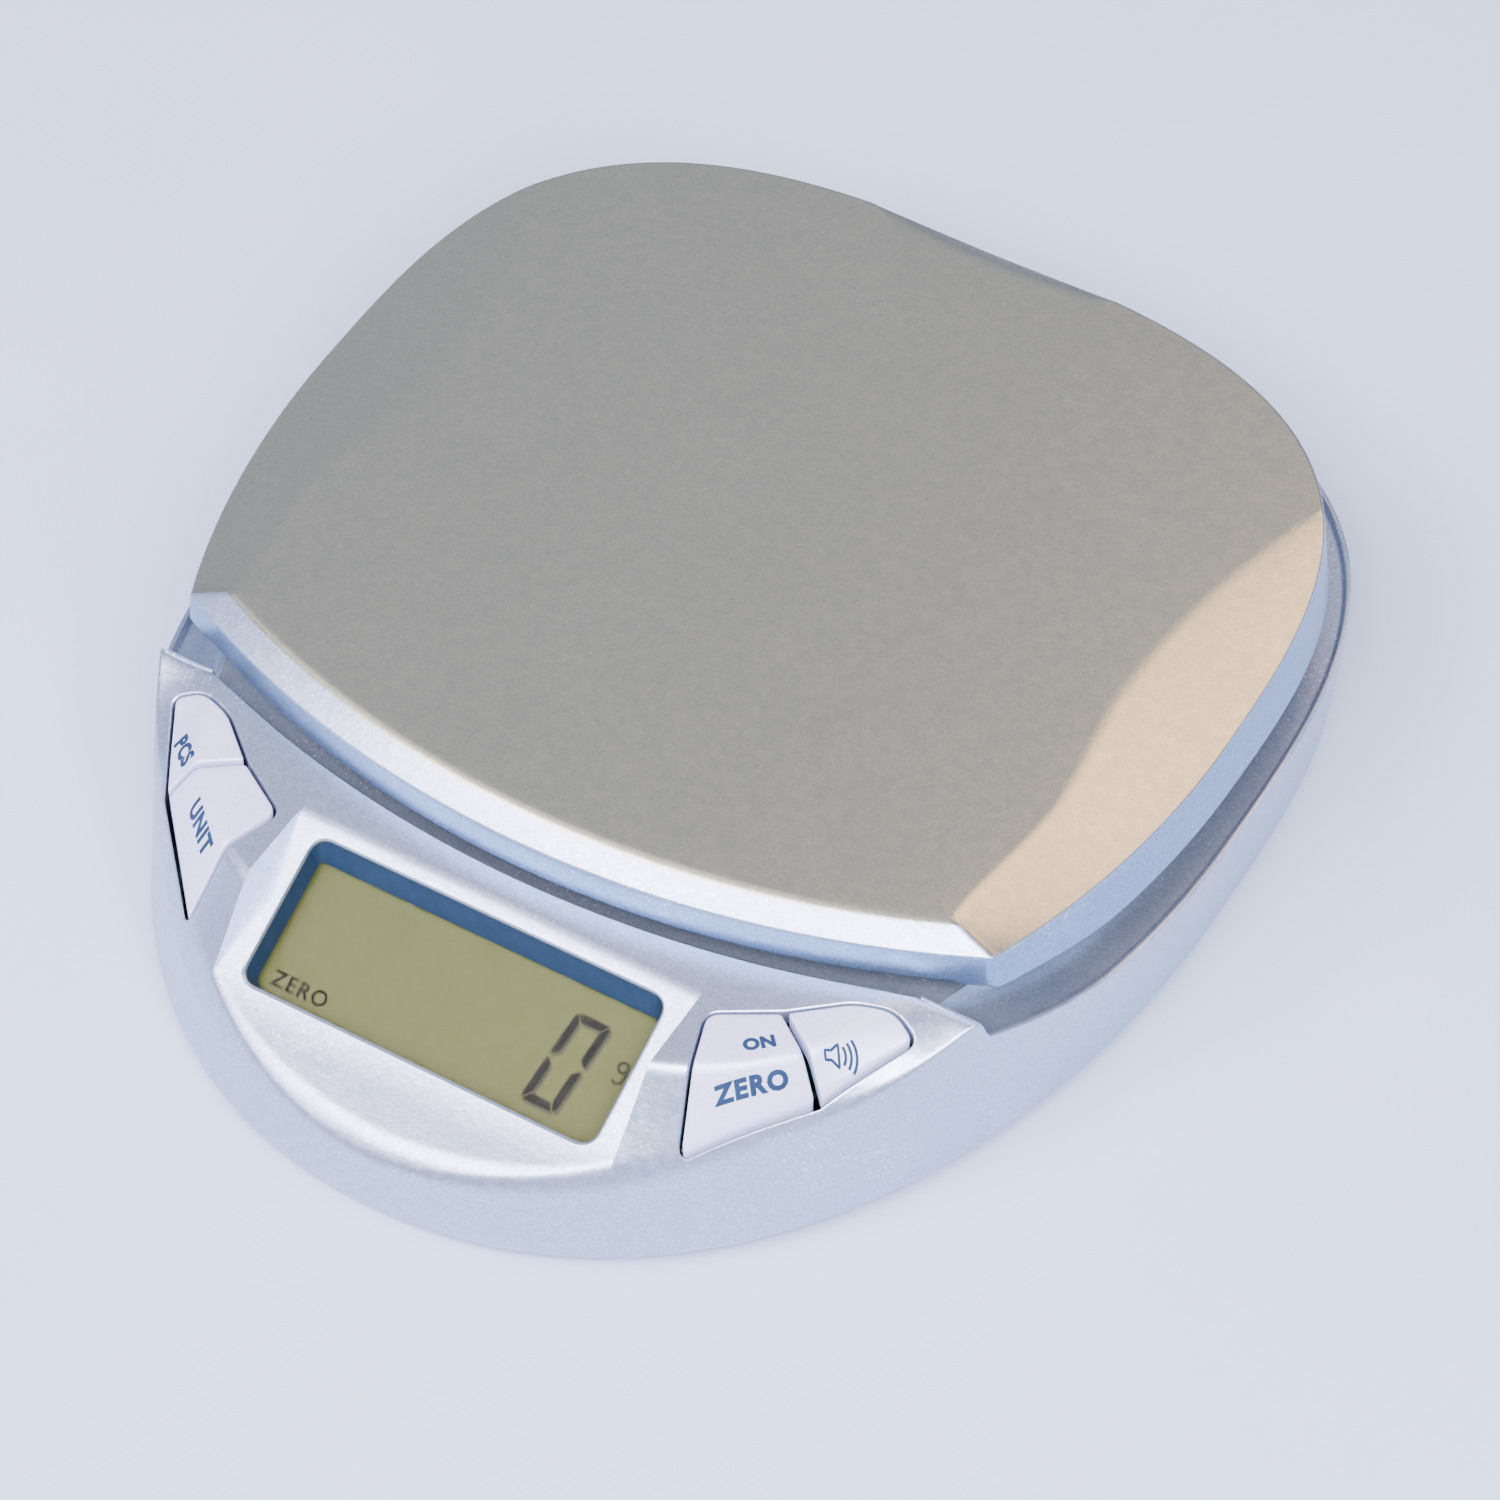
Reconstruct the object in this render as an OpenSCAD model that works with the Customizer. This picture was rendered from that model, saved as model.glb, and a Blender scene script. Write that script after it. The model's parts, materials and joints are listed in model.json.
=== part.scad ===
// Compact digital counter scale: a low egg-shaped housing with a sloped display
// panel and four keys at the front, and a square, bowed weighing platform on a
// single-point load cell. Millimetres, +Z up, front of the scale towards -Y.
// Origin: centre of the footprint, on the surface that the scale stands on.

/* [Housing] */
// Overall length, front to back
body_len = 156; // [140:1:160]
// Half width of the housing at its lower edge
body_half_w = 64.8; // [60:0.1:66]
// Extra half width that the side wall gains up to the side ledge
body_flare = 1.6; // [0:0.1:2]
// Wall thickness of both shells
wall = 2; // [1.6:0.1:2.4]
// Height of the flat strip behind the keys
deck_front_z = 24.7; // [24:0.1:26]
// Height of the inner deck under the platform
deck_z = 20.7; // [19:0.1:21]
// Height of the ledge around the sides and back
ledge_z = 16.2; // [14:0.1:17]
// Slope of the display panel, degrees
panel_tilt = 26; // [20:0.5:30]

/* [Platform] */
// Height of the flat weighing surface
platform_z = 32; // [31:0.1:34]
// Half width of the platform at its upper edge
platform_half_w = 63.1; // [58:0.1:64]
// Height of the lower edge of the platform's side skirt
skirt_z = 22.4; // [22:0.1:24]
// Thickness of the platform's top and skirt
platform_wall = 2; // [1.5:0.1:2.4]
// Play of the platform under full load
load_travel = 0.5; // [0.2:0.1:0.8]

/* [Display and keys] */
// Width of the display window
window_w = 48; // [40:0.5:50]
// Height of the display window along the slope
window_h = 19; // [14:0.5:20]
// Depth of the display below the panel
window_depth = 3; // [2:0.1:4]
// Gap around each key
key_gap = 0.55; // [0.4:0.05:0.8]
// Travel of each key
key_travel = 0.5; // [0.3:0.1:0.6]

/* [Electronics] */
// Thickness of the circuit board
board_t = 1.6; // [1:0.2:1.6]
// Height of the underside of the circuit board
board_z = 5.4; // [5:0.1:6]
// Length, width and height of the load cell's bar
cell_size = [64, 12, 8]; // [6:1:70]
// Diameter and length of one cell
battery_size = [10.5, 44.5]; // [10:0.5:50]

/* [Hidden] */

$fn = 48;
eps = 0.01;
silver = [0.68, 0.71, 0.78];
key_white = [0.87, 0.86, 0.96];

// Heights of the lower shell and of the seam between the shells
foot_proud = 1.0;
seam_z = 1.9;
floor_t = 2;
floor_z = foot_proud + floor_t;
seam_inset = 0.9;

// The housing outline: its widest line, and its reach to the front and the back
half_len = body_len / 2;
outline_y = 9.4;
reach_front = half_len + outline_y;
reach_back = half_len - outline_y;
power_front = 2.1;
power_back = 3.1;

// The crease where the flat strip turns down into the front slope
crease_half_w = 49;
crease_y = -20;
crease_reach = 42.6;
crease_power = 2.6;
// Where the slope meets the wall: low at the front, rising to the strip at its ends
shoulder_z = 11.4;
shoulder_end_y = -34.5;
shoulder_power = 1.6;

// The gap in front of the platform is an arc
gap_y = -43.2;
gap_r = 143;
gap_half_w = 48.8;
step_y = -32;

// The platform outline
platform_y = 12.4;
platform_reach_front = 85.4;
platform_reach_back = 57.3;
platform_front_y = -42.4;
platform_front_r = 122.8;
platform_flare = 1.3;
platform_edge_z = platform_z - 2.4;
front_skirt_z = 25.3;

// The display panel
panel_y = -47.3;
panel_half_w = 27.5;
panel_mid_y = -57.8;
panel_mid_z = deck_front_z - (panel_y - panel_mid_y) * tan(panel_tilt);
panel_foot_y = -67.5;
panel_foot_z = deck_front_z - (panel_y - panel_foot_y) * tan(panel_tilt);

// Positions of repeated things
house_screw_xy = [[44, -28], [50, 14], [33, 57]];
foot_x = [39, 43];
foot_y = [-40, 44];
foot_r = 6;
grommet_xy = [[38, -12], [38, 38]];
outer_key_xy = [43.5, -43.8];
inner_key_xy = [36.5, -53];
switch_xy = [outer_key_xy, inner_key_xy];
board_screw_xy = [[44, -36.5], [30.5, -57.5]];

// Load cell
cell_y = 10;
cell_z = 6.2;
cell_bolt_x = [26, 19];
post_top_z = deck_z + 1.4;
frame_t = 1.5;

// Battery bay
bay_x = 25.8;
bay_y = [37.8, 60.6];
bay_top_z = 14.3;
battery_y = [43.3, 54.9];
battery_axis_z = 8.5;
door_half_w = 26.6;
door_y = [35.1, 61.6];
door_t = 1.4;
hinge_z = 2.1;
hinge_r = 1.1;
pin_r = 0.7;
pin_clearance = 0.05;
door_gap = 0.4;

N = 96;

function sgn_pow(v, p) = sign(v) * pow(abs(v), p);

// Point at angle t of an oval with its own power and reach at the front and the back
function oval_point(t, half_w, y0, front, back, pf, pb) =
    let (p = sin(t) < 0 ? pf : pb, reach = sin(t) < 0 ? front : back)
    [half_w * sgn_pow(cos(t), 2 / p), y0 + reach * sgn_pow(sin(t), 2 / p)];

// Housing outline at height z, moved in by inset
function body_point(t, z, inset) =
    let (k = min(1, max(0, (z - seam_z) / (ledge_z - seam_z))))
    oval_point(t, body_half_w + body_flare * k - inset, outline_y, reach_front - inset,
               reach_back - inset, power_front - 0.2 * k, power_back);

function body_ring(z, inset) =
    [for (i = [0:N - 1]) let (q = body_point(360 * i / N, z, inset)) [q[0], q[1], z]];

// Height at which the front slope meets the wall, for a point of the outline at y
function slope_foot_z(y) =
    let (u = min(1, max(0, (y + half_len) / (shoulder_end_y + half_len))))
    shoulder_z + (deck_front_z - 0.1 - shoulder_z) * pow(u, shoulder_power);

function shoulder_ring(inset, drop) =
    [for (i = [0:N - 1])
        let (t = 360 * i / N, z = slope_foot_z(body_point(t, ledge_z, 0)[1]),
             q = body_point(t, z, inset))
        [q[0], q[1], z - drop]];

function crease_ring(inset, z) =
    [for (i = [0:N - 1])
        let (t = 360 * i / N,
             q = sin(t) < 0
                 ? oval_point(t, crease_half_w - inset, crease_y, crease_reach - inset,
                              reach_back, crease_power, power_back)
                 : body_point(t, ledge_z, inset + 6))
        [q[0], q[1], z]];

function platform_point(t, grow) =
    let (q = oval_point(t, platform_half_w + grow, platform_y, platform_reach_front,
                        platform_reach_back + grow, 2, 3),
         y_arc = platform_front_y - grow / 2 + platform_front_r
                 - sqrt(pow(platform_front_r, 2) - pow(min(abs(q[0]), 60), 2)))
    [q[0], max(q[1], y_arc)];

function platform_ring(z, grow) =
    [for (i = [0:N - 1]) let (q = platform_point(360 * i / N, grow)) [q[0], q[1], z]];

// Rectangle with round corners, as a list of points
function round_rect(w, h, r, steps = 6) =
    [for (c = [[1, 1, 0], [-1, 1, 90], [-1, -1, 180], [1, -1, 270]], k = [0:steps])
        let (a = c[2] + 90 * k / steps)
        [c[0] * (w / 2 - r) + r * cos(a), c[1] * (h / 2 - r) + r * sin(a)]];

// Closed solid through rings of equal length, from the bottom ring to the top one
module loft(rings) {
    n = len(rings[0]);
    last = (len(rings) - 1) * n;
    polyhedron(
        points = [for (ring = rings) each ring],
        faces = concat(
            [[for (i = [0:n - 1]) i]],
            [for (j = [0:len(rings) - 2], i = [0:n - 1])
                [j * n + i, (j + 1) * n + i, j * n + (i + 1) % n]],
            [for (j = [0:len(rings) - 2], i = [0:n - 1])
                [(j + 1) * n + i, (j + 1) * n + (i + 1) % n, j * n + (i + 1) % n]],
            [[for (i = [n - 1:-1:0]) last + i]]));
}

module mirror_pair() {
    children();
    mirror([1, 0, 0]) children();
}

// Frame whose local z is normal to the display panel, centred on the window
module on_panel() {
    translate([0, panel_mid_y, panel_mid_z]) rotate([panel_tilt, 0, 0]) children();
}

module front_dome(lift = 0) {
    translate([0, 0, lift])
        loft([body_ring(seam_z, 0), shoulder_ring(0, 0), crease_ring(0, deck_front_z)]);
}

// Everything above the sloped display panel and the lip in front of it, moved down by depth
module above_panel(depth, half_w) {
    rotate([90, 0, 90]) translate([0, 0, -half_w])
        linear_extrude(2 * half_w)
            polygon([[panel_y, deck_front_z - depth],
                     [panel_foot_y, panel_foot_z - depth],
                     [-half_len, shoulder_z + 0.2 - depth],
                     [-90, shoulder_z - 3 - depth], [-90, 40], [panel_y, 40]]);
}

// Plan region behind the front strip
module behind_gap(margin = 0) {
    intersection() {
        translate([-80, -60]) square([160, 160]);
        union() {
            intersection() {
                translate([0, gap_y + margin + gap_r]) circle(gap_r, $fn = 240);
                translate([-gap_half_w + margin, -60]) square([2 * (gap_half_w - margin), 200]);
            }
            translate([-80, step_y + margin]) square([160, 160]);
        }
    }
}

// Plan of the raised deck under the platform
module deck_plan(inset, front) {
    intersection() {
        polygon([for (i = [0:N - 1])
            oval_point(360 * i / N, platform_half_w - 6 - inset, platform_y, 90,
                       platform_reach_back - 6 - inset, 2, 3)]);
        behind_gap(front);
    }
}

// Outlines of the two keys on the right, with the gap around them left out
right_inner_key = [[29.4, -49.5], [36.6, -45.2], [44.2, -50.7], [33.7, -62.4]];
right_outer_key = [[37.2, -44.7], [42.8, -39.9], [47.4, -38.2], [50.6, -39.6], [44.8, -50.1]];
key_well = [[29.4, -49.5], [36.9, -44.9], [42.8, -39.9], [47.4, -38.2], [50.6, -39.6],
            [44.6, -50.5], [33.7, -62.4]];

// Moves every side of a convex outline, given clockwise, outwards by d
function grown(pts, d) =
    let (n = len(pts))
    [for (i = [0:n - 1])
        let (a = pts[(i + n - 1) % n], b = pts[i], c = pts[(i + 1) % n],
             u = (b - a) / norm(b - a), v = (c - b) / norm(c - b),
             nu = [-u[1], u[0]], nv = [-v[1], v[0]], m = nu + nv)
        b + m * (2 * d / (m * m))];

module prism(pts, z0, z1) {
    translate([0, 0, z0]) linear_extrude(z1 - z0) polygon(pts);
}

// Cross-section of the battery bay in y and z; its rear upper edge clears the ledge
module bay_profile() {
    polygon([[bay_y[0], -5], [bay_y[1], -5], [bay_y[1], 10.9], [bay_y[1] - 3, bay_top_z],
             [bay_y[0], bay_top_z]]);
}

// Runs a cross-section across the bay, from z0 upwards
module battery_bay(half_w, z0) {
    intersection() {
        rotate([90, 0, 90]) translate([0, 0, -half_w]) linear_extrude(2 * half_w) children();
        translate([-half_w, 0, z0]) cube([2 * half_w, 80, 30]);
    }
}

module base_shell() {
    color(silver) difference() {
        union() {
            loft([body_ring(foot_proud, seam_inset + 0.6), body_ring(foot_proud + 0.6, seam_inset),
                  body_ring(seam_z - 0.02, seam_inset), body_ring(seam_z, wall + 0.7),
                  body_ring(floor_z, wall + 0.7)]);
            difference() {
                loft([body_ring(floor_z - eps, wall + 0.35), body_ring(5, wall + 0.35)]);
                loft([body_ring(floor_z - 2 * eps, 2 * wall), body_ring(5 + eps, 2 * wall)]);
            }
            // battery bay
            battery_bay(bay_x + 1.2, floor_z - eps) offset(delta = 1.2) bay_profile();
            // socket blocks of the door's hinge
            mirror_pair() translate([27, door_y[0] - 2.4, floor_z - 0.5]) cube([3, 4.8, 2]);
            // load cell pad, and stop under its free end
            translate([-cell_size[0] / 2, cell_y - 6.5, floor_z - eps])
                cube([16, 13, cell_z - floor_z + eps]);
            translate([28, cell_y, floor_z - eps])
                cylinder(h = cell_z - load_travel - 0.1 - floor_z, r = 3);
            mirror_pair() {
                for (p = house_screw_xy) translate([p[0], p[1], floor_z - eps])
                    cylinder(h = 4, r = 3.4);
                for (p = board_screw_xy) translate([p[0], p[1], floor_z - eps])
                    cylinder(h = board_z - floor_z, r = 2.4);
                for (p = switch_xy) translate([p[0], p[1], floor_z - eps])
                    cylinder(h = board_z - floor_z, r = 1.5);
            }
        }
        // battery bay and door opening
        battery_bay(bay_x, floor_z - 2) bay_profile();
        translate([-door_half_w - door_gap, door_y[0] - hinge_r - door_gap, -1])
            cube([2 * (door_half_w + door_gap), door_y[1] - door_y[0] + hinge_r + 2 * door_gap,
                  floor_z + 1.4]);
        translate([-32, door_y[0], hinge_z]) rotate([0, 90, 0])
            cylinder(h = 64, r = pin_r + pin_clearance);
        mirror_pair() {
            for (p = house_screw_xy) translate([p[0], p[1], 0]) {
                cylinder(h = 10, r = 1.7);
                cylinder(h = foot_proud + 1.4, r = 3);
            }
            for (p = board_screw_xy) translate([p[0], p[1], floor_z + 0.6]) cylinder(h = 5, r = 0.8);
            for (k = [0, 1]) translate([foot_x[k], foot_y[k], 0])
                cylinder(h = foot_proud + 0.8, r = foot_r + 0.15);
        }
        for (x = cell_bolt_x) translate([-x, cell_y, 0]) {
            cylinder(h = 10, r = 1.7);
            cylinder(h = foot_proud + 1.6, r = 3.2);
        }
    }
}

module top_shell() {
    color(silver) difference() {
        union() {
            difference() {
                front_dome();
                // inside of the side walls
                intersection() {
                    translate([0, 0, -eps])
                        loft([body_ring(seam_z, wall), body_ring(ledge_z - wall, wall)]);
                    translate([-80, gap_y - wall - 1, 0]) cube([160, 160, 60]);
                }
                // inside under the deck
                translate([0, 0, seam_z]) linear_extrude(deck_z - wall - seam_z)
                    deck_plan(wall, -wall - 1);
                // inside of the front
                difference() {
                    intersection() {
                        loft([body_ring(seam_z - eps, wall), shoulder_ring(wall, wall),
                              crease_ring(wall, deck_front_z - wall)]);
                        translate([-80, -90, 0]) cube([160, 90 + gap_y - wall, 60]);
                    }
                    above_panel(2.4, panel_half_w + 2);
                }
                // platform bay, and ledge around it
                translate([0, 0, deck_z]) linear_extrude(20) behind_gap();
                translate([0, 0, ledge_z]) linear_extrude(20) difference() {
                    intersection() {
                        behind_gap();
                        translate([-80, step_y]) square([160, 160]);
                    }
                    deck_plan(0, 0);
                }
            }
            // screw bosses under the deck
            mirror_pair() for (p = house_screw_xy) translate([p[0], p[1], 7.2])
                cylinder(h = deck_z - 0.5 - 7.2, r = 3.2);
            // frame around the display
            on_panel() difference() {
                translate([-27.5, -11.5, -window_depth]) cube([55, 23, window_depth - 1]);
                translate([0, 0, -window_depth - 2]) linear_extrude(window_depth + 4)
                    polygon(round_rect(window_w, window_h, 1.8));
            }
        }
        above_panel(0, panel_half_w);
        on_panel() translate([0, 0, -window_depth - 6]) linear_extrude(20)
            polygon(round_rect(window_w, window_h, 1.8));
        mirror_pair() {
            prism(grown(key_well, key_gap), 10, 40);
            for (p = house_screw_xy) translate([p[0], p[1], 6]) cylinder(h = 10, r = 1.5);
        }
        // opening for the load cell's post
        translate([cell_size[0] / 2 - 22, cell_y - 9, 10]) cube([25, 18, 20]);
    }
}

module platform() {
    color([0.62, 0.62, 0.60]) difference() {
        union() {
            difference() {
                loft([platform_ring(skirt_z, platform_flare), platform_ring(platform_edge_z, 0),
                      platform_ring(platform_z, -4.4)]);
                translate([0, 0, -eps])
                    loft([platform_ring(skirt_z, platform_flare - platform_wall),
                          platform_ring(platform_edge_z - platform_wall, -platform_wall),
                          platform_ring(platform_z - platform_wall, -4.4 - platform_wall)]);
                // the skirt is short along the front
                linear_extrude(front_skirt_z) translate([-51, -60]) square([102, 32]);
            }
            mirror_pair() for (p = grommet_xy) translate([p[0], p[1], post_top_z + frame_t + 0.3])
                cylinder(h = platform_z - post_top_z - frame_t - 1.3, r = 4);
        }
        mirror_pair() for (p = grommet_xy) translate([p[0], p[1], 20]) cylinder(h = 9, r = 2);
    }
}

// Stamped steel frame on the load cell's post
module platform_frame() {
    color([0.75, 0.76, 0.78]) translate([0, 0, post_top_z]) linear_extrude(frame_t) difference() {
        union() {
            for (p = grommet_xy) translate([-46, p[1] - 7]) square([92, 14]);
            mirror_pair() translate([31, -12]) square([14, 50]);
            translate([-45, cell_y - 8]) square([90, 16]);
        }
        mirror_pair() for (p = grommet_xy) translate(p) circle(2.6);
        for (x = cell_bolt_x) translate([x, cell_y]) circle(2);
    }
}

// Rubber grommets: a plug in the platform's boss, through the frame, with a collar above it
module frame_grommets() {
    color([0.12, 0.12, 0.13]) mirror_pair() for (p = grommet_xy) translate([p[0], p[1], 0]) {
        translate([0, 0, post_top_z - 0.7]) cylinder(h = 0.7, r = 3.4);
        translate([0, 0, post_top_z - eps]) cylinder(h = frame_t + 2 * eps, r = 2.5);
        translate([0, 0, post_top_z + frame_t]) cylinder(h = 0.3, r = 3.4);
        translate([0, 0, post_top_z + frame_t + 0.3 - eps]) cylinder(h = 3.5, r = 1.95);
    }
}

module load_cell() {
    color([0.8, 0.81, 0.83]) difference() {
        translate([-cell_size[0] / 2, cell_y - cell_size[1] / 2, cell_z]) cube(cell_size);
        // the thinned middle of the beam: two holes and the slot between them
        for (x = [-5, 5]) translate([x, cell_y + 10, cell_z + cell_size[2] / 2])
            rotate([90, 0, 0]) cylinder(h = 20, r = 2.9);
        translate([-5, cell_y - 10, cell_z + cell_size[2] / 2 - 1]) cube([10, 20, 2]);
        for (x = cell_bolt_x, s = [-1, 1]) translate([s * x, cell_y, cell_z - 1])
            cylinder(h = cell_size[2] + 2, r = 1.6);
    }
}

// Foil gauges under their coating, over the thinned parts of the beam
module strain_gauges() {
    color([0.93, 0.93, 0.9]) for (x = [-5, 5], z = [cell_z - 0.4, cell_z + cell_size[2]])
        translate([x - 3.5, cell_y - 3, z]) cube([7, 6, 0.4]);
}

module cap_screw(length, head_r, shank_r) {
    difference() {
        union() {
            cylinder(h = 1.3, r = head_r);
            translate([0, 0, 1.3 - eps]) cylinder(h = length, r = shank_r);
        }
        for (a = [0, 90]) rotate([0, 0, a]) translate([-head_r * 0.6, -0.25, -0.5])
            cube([head_r * 1.2, 0.5, 1.1]);
    }
}

module load_cell_base_screws() {
    color([0.7, 0.7, 0.72]) for (x = cell_bolt_x) translate([-x, cell_y, 1.3])
        cap_screw(8, 2.7, 1.5);
}

module load_cell_top_screws() {
    color([0.7, 0.7, 0.72]) for (x = cell_bolt_x)
        translate([x, cell_y, post_top_z + frame_t + 1.3]) rotate([180, 0, 0])
            cap_screw(14, 2.7, 1.5);
}

// Spacer between the load cell's free end and the frame
module load_cell_post() {
    color([0.8, 0.81, 0.83]) translate([0, 0, cell_z + cell_size[2]]) difference() {
        translate([cell_size[0] / 2 - 17, cell_y - 6, 0])
            cube([17, 12, post_top_z - cell_z - cell_size[2]]);
        for (x = cell_bolt_x) translate([x, cell_y, -1]) cylinder(h = 20, r = 1.6);
    }
}

// Flat four-core lead from the load cell to the board, along the floor
module load_cell_leads() {
    color([0.85, 0.85, 0.86]) for (k = [0:3]) translate([9 + 1.05 * k, 0, floor_z + 0.5]) {
        translate([0, 3.4, 0]) rotate([90, 0, 0]) cylinder(h = 41.4, r = 0.5);
        for (y = [3.4, -38]) translate([0, y, 0]) sphere(r = 0.5);
        translate([0, 3.4, 0]) cylinder(h = 6, r = 0.5);
        translate([0, -38, 0]) cylinder(h = board_z - floor_z - 0.52, r = 0.5);
    }
}

// Clear pane at the bottom of the display recess
module display_window() {
    color([0.8, 0.85, 0.85, 0.4]) on_panel() translate([0, 0, -window_depth - 0.95])
        linear_extrude(0.9) polygon(round_rect(window_w + 3, window_h + 3, 1));
}

module lcd_glass() {
    color([0.55, 0.56, 0.43]) on_panel() translate([-26, -11.4, -window_depth - 3])
        cube([52, 22, 2]);
}

module lcd_reflector() {
    color([0.6, 0.61, 0.5]) on_panel() translate([-25.5, -10.9, -window_depth - 3.3])
        cube([51, 19.2, 0.25]);
}

module lcd_holder() {
    color([0.9, 0.9, 0.88]) on_panel() difference() {
        translate([0, 0, -window_depth - 4.2]) linear_extrude(4.1)
            polygon([[28, 10.3], [-28, 10.3], [-28, -8.6], [-23.8, -12.8], [23.8, -12.8],
                     [28, -8.6]]);
        translate([-26.2, -11.6, -window_depth - 3.35]) cube([52.4, 30, 4]);
        translate([-23, -8.5, -window_depth - 5]) cube([46, 16, 4]);
        // cut-out for the flexible connector
        translate([-15.5, 8, -window_depth - 4.3]) cube([31, 6, 6]);
    }
}

// Flexible connector from the glass's rear edge down to the board
module display_flex() {
    color([0.55, 0.33, 0.12]) rotate([90, 0, 90]) translate([0, 0, -15]) linear_extrude(30)
        polygon([[-47.2, 17.95], [-45.75, 18.66], [-45.35, 18.2], [-45.35, 8], [-46.1, 7.02],
                 [-49, 7.02], [-49, 7.22], [-46.2, 7.22], [-45.55, 8.1], [-45.55, 18.1],
                 [-45.85, 18.42], [-47.1, 17.75]]);
}

module main_board() {
    color([0.1, 0.38, 0.2]) translate([0, 0, board_z]) linear_extrude(board_t) difference() {
        polygon([[-48, -33.5], [48, -33.5], [48, -45], [36, -57], [22, -68.5],
                 [-22, -68.5], [-36, -57], [-48, -45]]);
        mirror_pair() for (p = board_screw_xy) translate(p) circle(1.5);
    }
}

module processor_chip() {
    color([0.08, 0.08, 0.09]) translate([-24, -44, board_z + board_t]) {
        cube([10, 10, 1.4]);
        for (k = [0:7]) translate([-1, 0.8 + 1.15 * k, 0]) cube([12, 0.5, 0.5]);
    }
}

module oscillator_can() {
    color([0.75, 0.75, 0.76]) translate([-4, -42, board_z + board_t])
        linear_extrude(1.6) polygon(round_rect(7, 3.4, 1.6));
}

module piezo_buzzer() {
    color([0.1, 0.1, 0.1]) translate([26, -41.5, board_z + board_t]) difference() {
        cylinder(h = 3, r = 6);
        translate([0, 0, 2]) cylinder(h = 2, r = 1);
    }
}

module switch_body() {
    difference() {
        translate([-3, -3, 0]) cube([6, 6, 3.5]);
        translate([0, 0, 2.8 - key_travel]) cylinder(h = 2, r = 1.8);
    }
    for (x = [-1, 1], y = [-1, 1]) translate([x * 2.25 - 0.35, y > 0 ? 3 : -3.6, 0])
        cube([0.7, 0.6, 0.9]);
}

module tact_switches() {
    color([0.15, 0.15, 0.16]) mirror_pair() for (p = switch_xy)
        translate([p[0], p[1], board_z + board_t]) switch_body();
}

plunger_z = board_z + board_t + 3;
module plunger(p) {
    color([0.85, 0.2, 0.15]) translate([p[0], p[1], plunger_z]) cylinder(h = 3, r = 1.72);
}

// Key cap that follows the housing's surface, with the post that presses its switch
module key(pts, p) {
    color(key_white) {
        intersection() {
            prism(pts, 12, 40);
            difference() {
                front_dome(0.3);
                front_dome(-2.2);
            }
        }
        intersection() {
            front_dome(-0.7);
            translate([p[0], p[1], plunger_z + 3]) cylinder(h = 20, r = 1.6);
        }
    }
}

module count_key() { mirror([1, 0, 0]) key(right_outer_key, outer_key_xy); }
module unit_key() { mirror([1, 0, 0]) key(right_inner_key, inner_key_xy); }
module on_zero_key() { key(right_inner_key, inner_key_xy); }
module sound_key() { key(right_outer_key, outer_key_xy); }
module count_plunger() { mirror([1, 0, 0]) plunger(outer_key_xy); }
module unit_plunger() { mirror([1, 0, 0]) plunger(inner_key_xy); }
module on_zero_plunger() { plunger(inner_key_xy); }
module sound_plunger() { plunger(outer_key_xy); }

module battery_door() {
    color(silver) {
        translate([-door_half_w, door_y[0], foot_proud])
            cube([2 * door_half_w, door_y[1] - door_y[0], door_t]);
        translate([-door_half_w, door_y[0], hinge_z]) rotate([0, 90, 0])
            cylinder(h = 2 * door_half_w, r = hinge_r);
        translate([-door_half_w - 1.6, door_y[0], hinge_z]) rotate([0, 90, 0])
            cylinder(h = 2 * door_half_w + 3.2, r = pin_r);
        // stiffening ribs, and the latch tongue
        for (x = [-15, 0, 15]) translate([x - 0.6, door_y[0] + 4, foot_proud + door_t - eps])
            cube([1.2, 18, 0.8]);
        translate([-6, door_y[1] - 1.2, foot_proud + door_t - eps]) cube([12, 1.2, 0.9]);
    }
}

// Cylinder cell along X; its raised end points to side (1 or -1)
module battery(y, side) {
    r = battery_size[0] / 2;
    translate([0, y, battery_axis_z]) rotate([0, 90 * side, 0]) {
        translate([0, 0, -battery_size[1] / 2]) cylinder(h = battery_size[1] - 1.1, r = r - 0.05);
        translate([0, 0, battery_size[1] / 2 - 1.2]) cylinder(h = 1.2, r = 1.9);
    }
}

module battery_front() { color([0.2, 0.2, 0.22]) battery(battery_y[0], 1); }
module battery_rear() { color([0.2, 0.2, 0.22]) battery(battery_y[1], -1); }

// Conical coil along X from x0 to x1, as a tube swept round a growing circle
module coil(x0, x1, r0, r1, turns, wire) {
    steps = 14 * turns;
    sides = 6;
    loft([for (k = [0:steps])
        let (u = k / steps, a = 360 * turns * u, r = r0 + (r1 - r0) * u, x = x0 + (x1 - x0) * u)
        [for (j = [0:sides - 1])
            let (b = 360 * j / sides, q = r + wire * cos(b))
            [x + wire * sin(b), q * cos(a), q * sin(a)]]]);
}

module battery_springs() {
    color([0.8, 0.8, 0.82]) {
        translate([0, battery_y[0], battery_axis_z]) coil(-24.9, -22.7, 3.4, 2.2, 3, 0.3);
        translate([0, battery_y[1], battery_axis_z]) rotate([0, 0, 180])
            coil(-24.9, -22.7, 3.4, 2.2, 3, 0.3);
    }
}

module contact_plate(y0, y1) {
    translate([-25.75, y0, 4.5]) cube([0.4, y1 - y0, 8]);
}

module battery_contacts() {
    color([0.8, 0.8, 0.82]) {
        contact_plate(battery_y[0] - 4, battery_y[0] + 4);
        contact_plate(battery_y[1] - 4, battery_y[1] + 4);
        translate([-25.4, battery_y[1], battery_axis_z]) rotate([0, 90, 0])
            cylinder(h = 3, r = 1.6);
    }
}

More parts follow.
